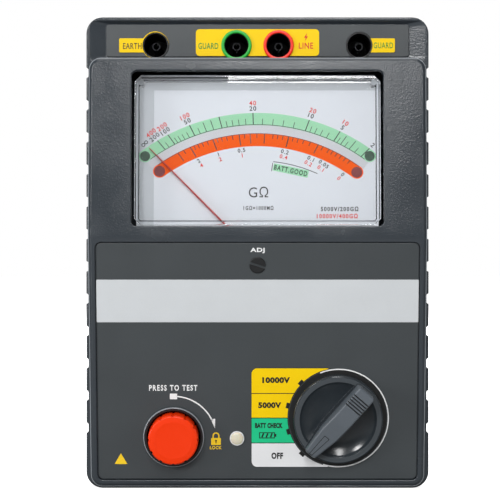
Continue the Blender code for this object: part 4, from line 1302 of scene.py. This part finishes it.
def cell(number):
    """A dry cell with rolled shoulders and a raised terminal."""
    node = f"cell_{number}"
    box = extent(node)
    radius = (box.z1 - box.z0) / 2
    tips = [v.co for v in frame["nodes"][node].data.vertices if abs(v.co.x - box.x1 * MM) < 1e-5]
    forward = max(v.z for v in tips) - min(v.z for v in tips) < radius * MM
    start, turn = (box.x0, 90) if forward else (box.x1, -90)
    centre_z = (box.z0 + box.z1) / 2
    plane = BENCH @ Matrix.Translation((start, middle(box)[1], centre_z)) @ Matrix.Rotation(math.radians(turn), 4, "Y")
    length = box.x1 - box.x0
    body = length - 1.0
    profile = [(5.2, 0.15), (5.6, 0.0), (radius - 0.5, 0.0), (radius - 0.12, 0.15), (radius, 0.5), (radius, body - 0.7)]
    profile += [(radius - 0.2, body - 0.25), (radius - 0.7, body - 0.05), (3.4, body - 0.05), (2.75, body + 0.05)]
    profile += [(2.75, length - 0.25), (2.5, length)]
    smooth(piece(f"dry_cell_{number}", turned(profile, 56), plane, CELL, node))


def button_spring():
    """A four-turn coil under the button, on a mesh of its own."""
    box = extent("button_spring", CONTROL)
    wire, turns, per_turn, sides = 0.45, 4, 40, 10
    radius = (box.x1 - box.x0) / 2 - wire
    low, high = box.z0 + wire, box.z1 - wire
    rings = []
    for i in range(turns * per_turn + 1):
        angle = 2 * math.pi * i / per_turn
        z = low + (high - low) * i / (turns * per_turn)
        out = Vector((math.cos(angle), math.sin(angle), 0))
        centre = out * radius + Vector((0, 0, z))
        ring = []
        for k in range(sides):
            around = 2 * math.pi * k / sides
            ring.append(centre + wire * (out * math.cos(around) + Vector((0, 0, math.sin(around)))))
        rings.append(ring)
    plane = CONTROL @ Matrix.Translation((*TEST, 0))
    spring = piece("button_spring_coil", loft(rings), plane, STEEL, "button_spring")
    spring.data.shade_smooth()
    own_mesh(spring)


FRAME_FINISHES = {
    "case_plastic": CASE, "panel_plastic": PANEL, "black_plastic": BLACK, "yellow_film": YELLOW, "white_film": STRIP,
    "green_plastic": GREEN_RING, "red_plastic": RED_RING, "button_plastic": BUTTON, "knob_plastic": KNOB,
    "lens_plastic": LENS, "window_plastic": CLEAR, "dial_paint": DIAL_WHITE, "pointer_paint": NEEDLE, "brass": BRASS,
    "steel": STEEL, "magnet": MAGNET, "copper": COPPER, "board": BOARD, "cell_wrap": CELL, "rubber": RUBBER,
}


def finish_frame():
    """Every frame node takes the finish of its material slot; potted parts are resin."""
    for name, node in frame["nodes"].items():
        finish = FRAME_FINISHES[SLOTS[name]]
        if name in ("hv_module", "button_switch", "selector_switch"):
            finish = BAKELITE
        for material_slot in node.material_slots:
            material_slot.material = finish
        if not node.material_slots:
            node.data.materials.append(finish)


# Stage

def pale_floor():
    """A faintly mottled floor, lit up to white where the camera sees it and grey where the tester reflects it."""
    finish = Finish("pale_floor", Roughness=0.7)
    seen = finish.node("LightPath").outputs["Is Camera Ray"]
    white = finish.tone((0.93, 0.93, 0.93), 0.01, 400.0, 60.0)
    finish.set(finish.surface, {"Base Color": finish.mix(seen, (0.3, 0.3, 0.3, 1.0), white)})
    finish.set(finish.surface, {"Emission Color": (1.0, 1.0, 1.0, 1.0), "Emission Strength": finish.between(seen, 0.0, 0.87)})
    return finish.material


def stage():
    bm = bmesh.new()
    bmesh.ops.create_grid(bm, x_segments=2, y_segments=2, size=6.0)
    mesh = bpy.data.meshes.new("floor")
    bm.to_mesh(mesh)
    bm.free()
    floor = bpy.data.objects.new("floor", mesh)
    bpy.context.scene.collection.objects.link(floor)
    mesh.materials.append(pale_floor())


def softbox(name, at, target, size, power, colour=(1.0, 1.0, 1.0)):
    """A rectangular light that points at a target and isn't seen itself."""
    light = bpy.data.lights.new(name, "AREA")
    light.shape, light.energy, light.color = "RECTANGLE", power, colour
    light.size, light.size_y = size
    lamp_object = bpy.data.objects.new(name, light)
    lamp_object.location = at
    lamp_object.rotation_euler = (Vector(at) - Vector(target)).to_track_quat("Z", "Y").to_euler()
    lamp_object.visible_camera = False
    bpy.context.scene.collection.objects.link(lamp_object)


def lights():
    centre = (0.0, 0.0, 0.1)
    softbox("front_softbox", (0.057, -1.5, 0.974), (0.0, 0.0, 0.12), (0.22, 0.95), 13.0)
    softbox("upper_left_box", (-0.66, -1.42, 0.66), centre, (0.26, 0.3), 7.5)
    softbox("left_box", (-1.35, -0.75, 0.2), centre, (0.3, 0.6), 7.5)
    softbox("right_box", (1.4, -0.8, 0.2), centre, (0.3, 0.6), 1.5)
    softbox("back_fill", (0.3, 1.6, 1.1), centre, (1.4, 1.2), 24.0)
    softbox("top_light", (0.0, 0.1, 1.7), centre, (1.4, 1.4), 9.0)


def world():
    """White to the camera, softer grey as a source of light."""
    made = bpy.data.worlds.new("studio")
    made.use_nodes = True
    nodes, links = made.node_tree.nodes, made.node_tree.links
    path = nodes.new("ShaderNodeLightPath")
    strength = nodes.new("ShaderNodeMapRange")
    strength.inputs["To Min"].default_value = 0.16
    strength.inputs["To Max"].default_value = 1.0
    links.new(path.outputs["Is Camera Ray"], strength.inputs["Value"])
    background = nodes["Background"]
    background.inputs["Color"].default_value = (1.0, 1.0, 1.0, 1.0)
    links.new(strength.outputs["Result"], background.inputs["Strength"])
    bpy.context.scene.world = made


def camera():
    """Square on to the face, at half the tester's height."""
    data = bpy.data.cameras.new("camera")
    data.lens, data.sensor_width = 118.7, 36.0
    data.shift_x, data.shift_y = -0.015, 0.005
    data.clip_start = 0.01
    holder = bpy.data.objects.new("camera", data)
    holder.location = (0.0, -0.716, 0.1)
    holder.rotation_euler = (math.radians(90), 0.0, 0.0)
    bpy.context.scene.collection.objects.link(holder)
    bpy.context.scene.camera = holder
    bpy.context.scene.view_settings.view_transform = "Standard"


# Assembly

def build():
    finish_frame()
    rear_case()
    front_cover()
    control_panel()
    panel_print()
    range_label()
    knob_marks(selector_knob())
    test_button()
    lamp()
    zero_screw()
    terminal_shelf()
    meter_window()
    dial()
    needle()
    battery_cover()
    for corner, turn in zip(CORNERS, (12, 55, 71, 33)):
        back_screw(f"case_screw_{corner}", "casing", turn)
        foot(corner)
    back_screw("battery_cover_screw", "battery_cover", 20)
    for number in range(1, 9):
        cell(number)
    button_spring()


build()
stage()
lights()
world()
camera()
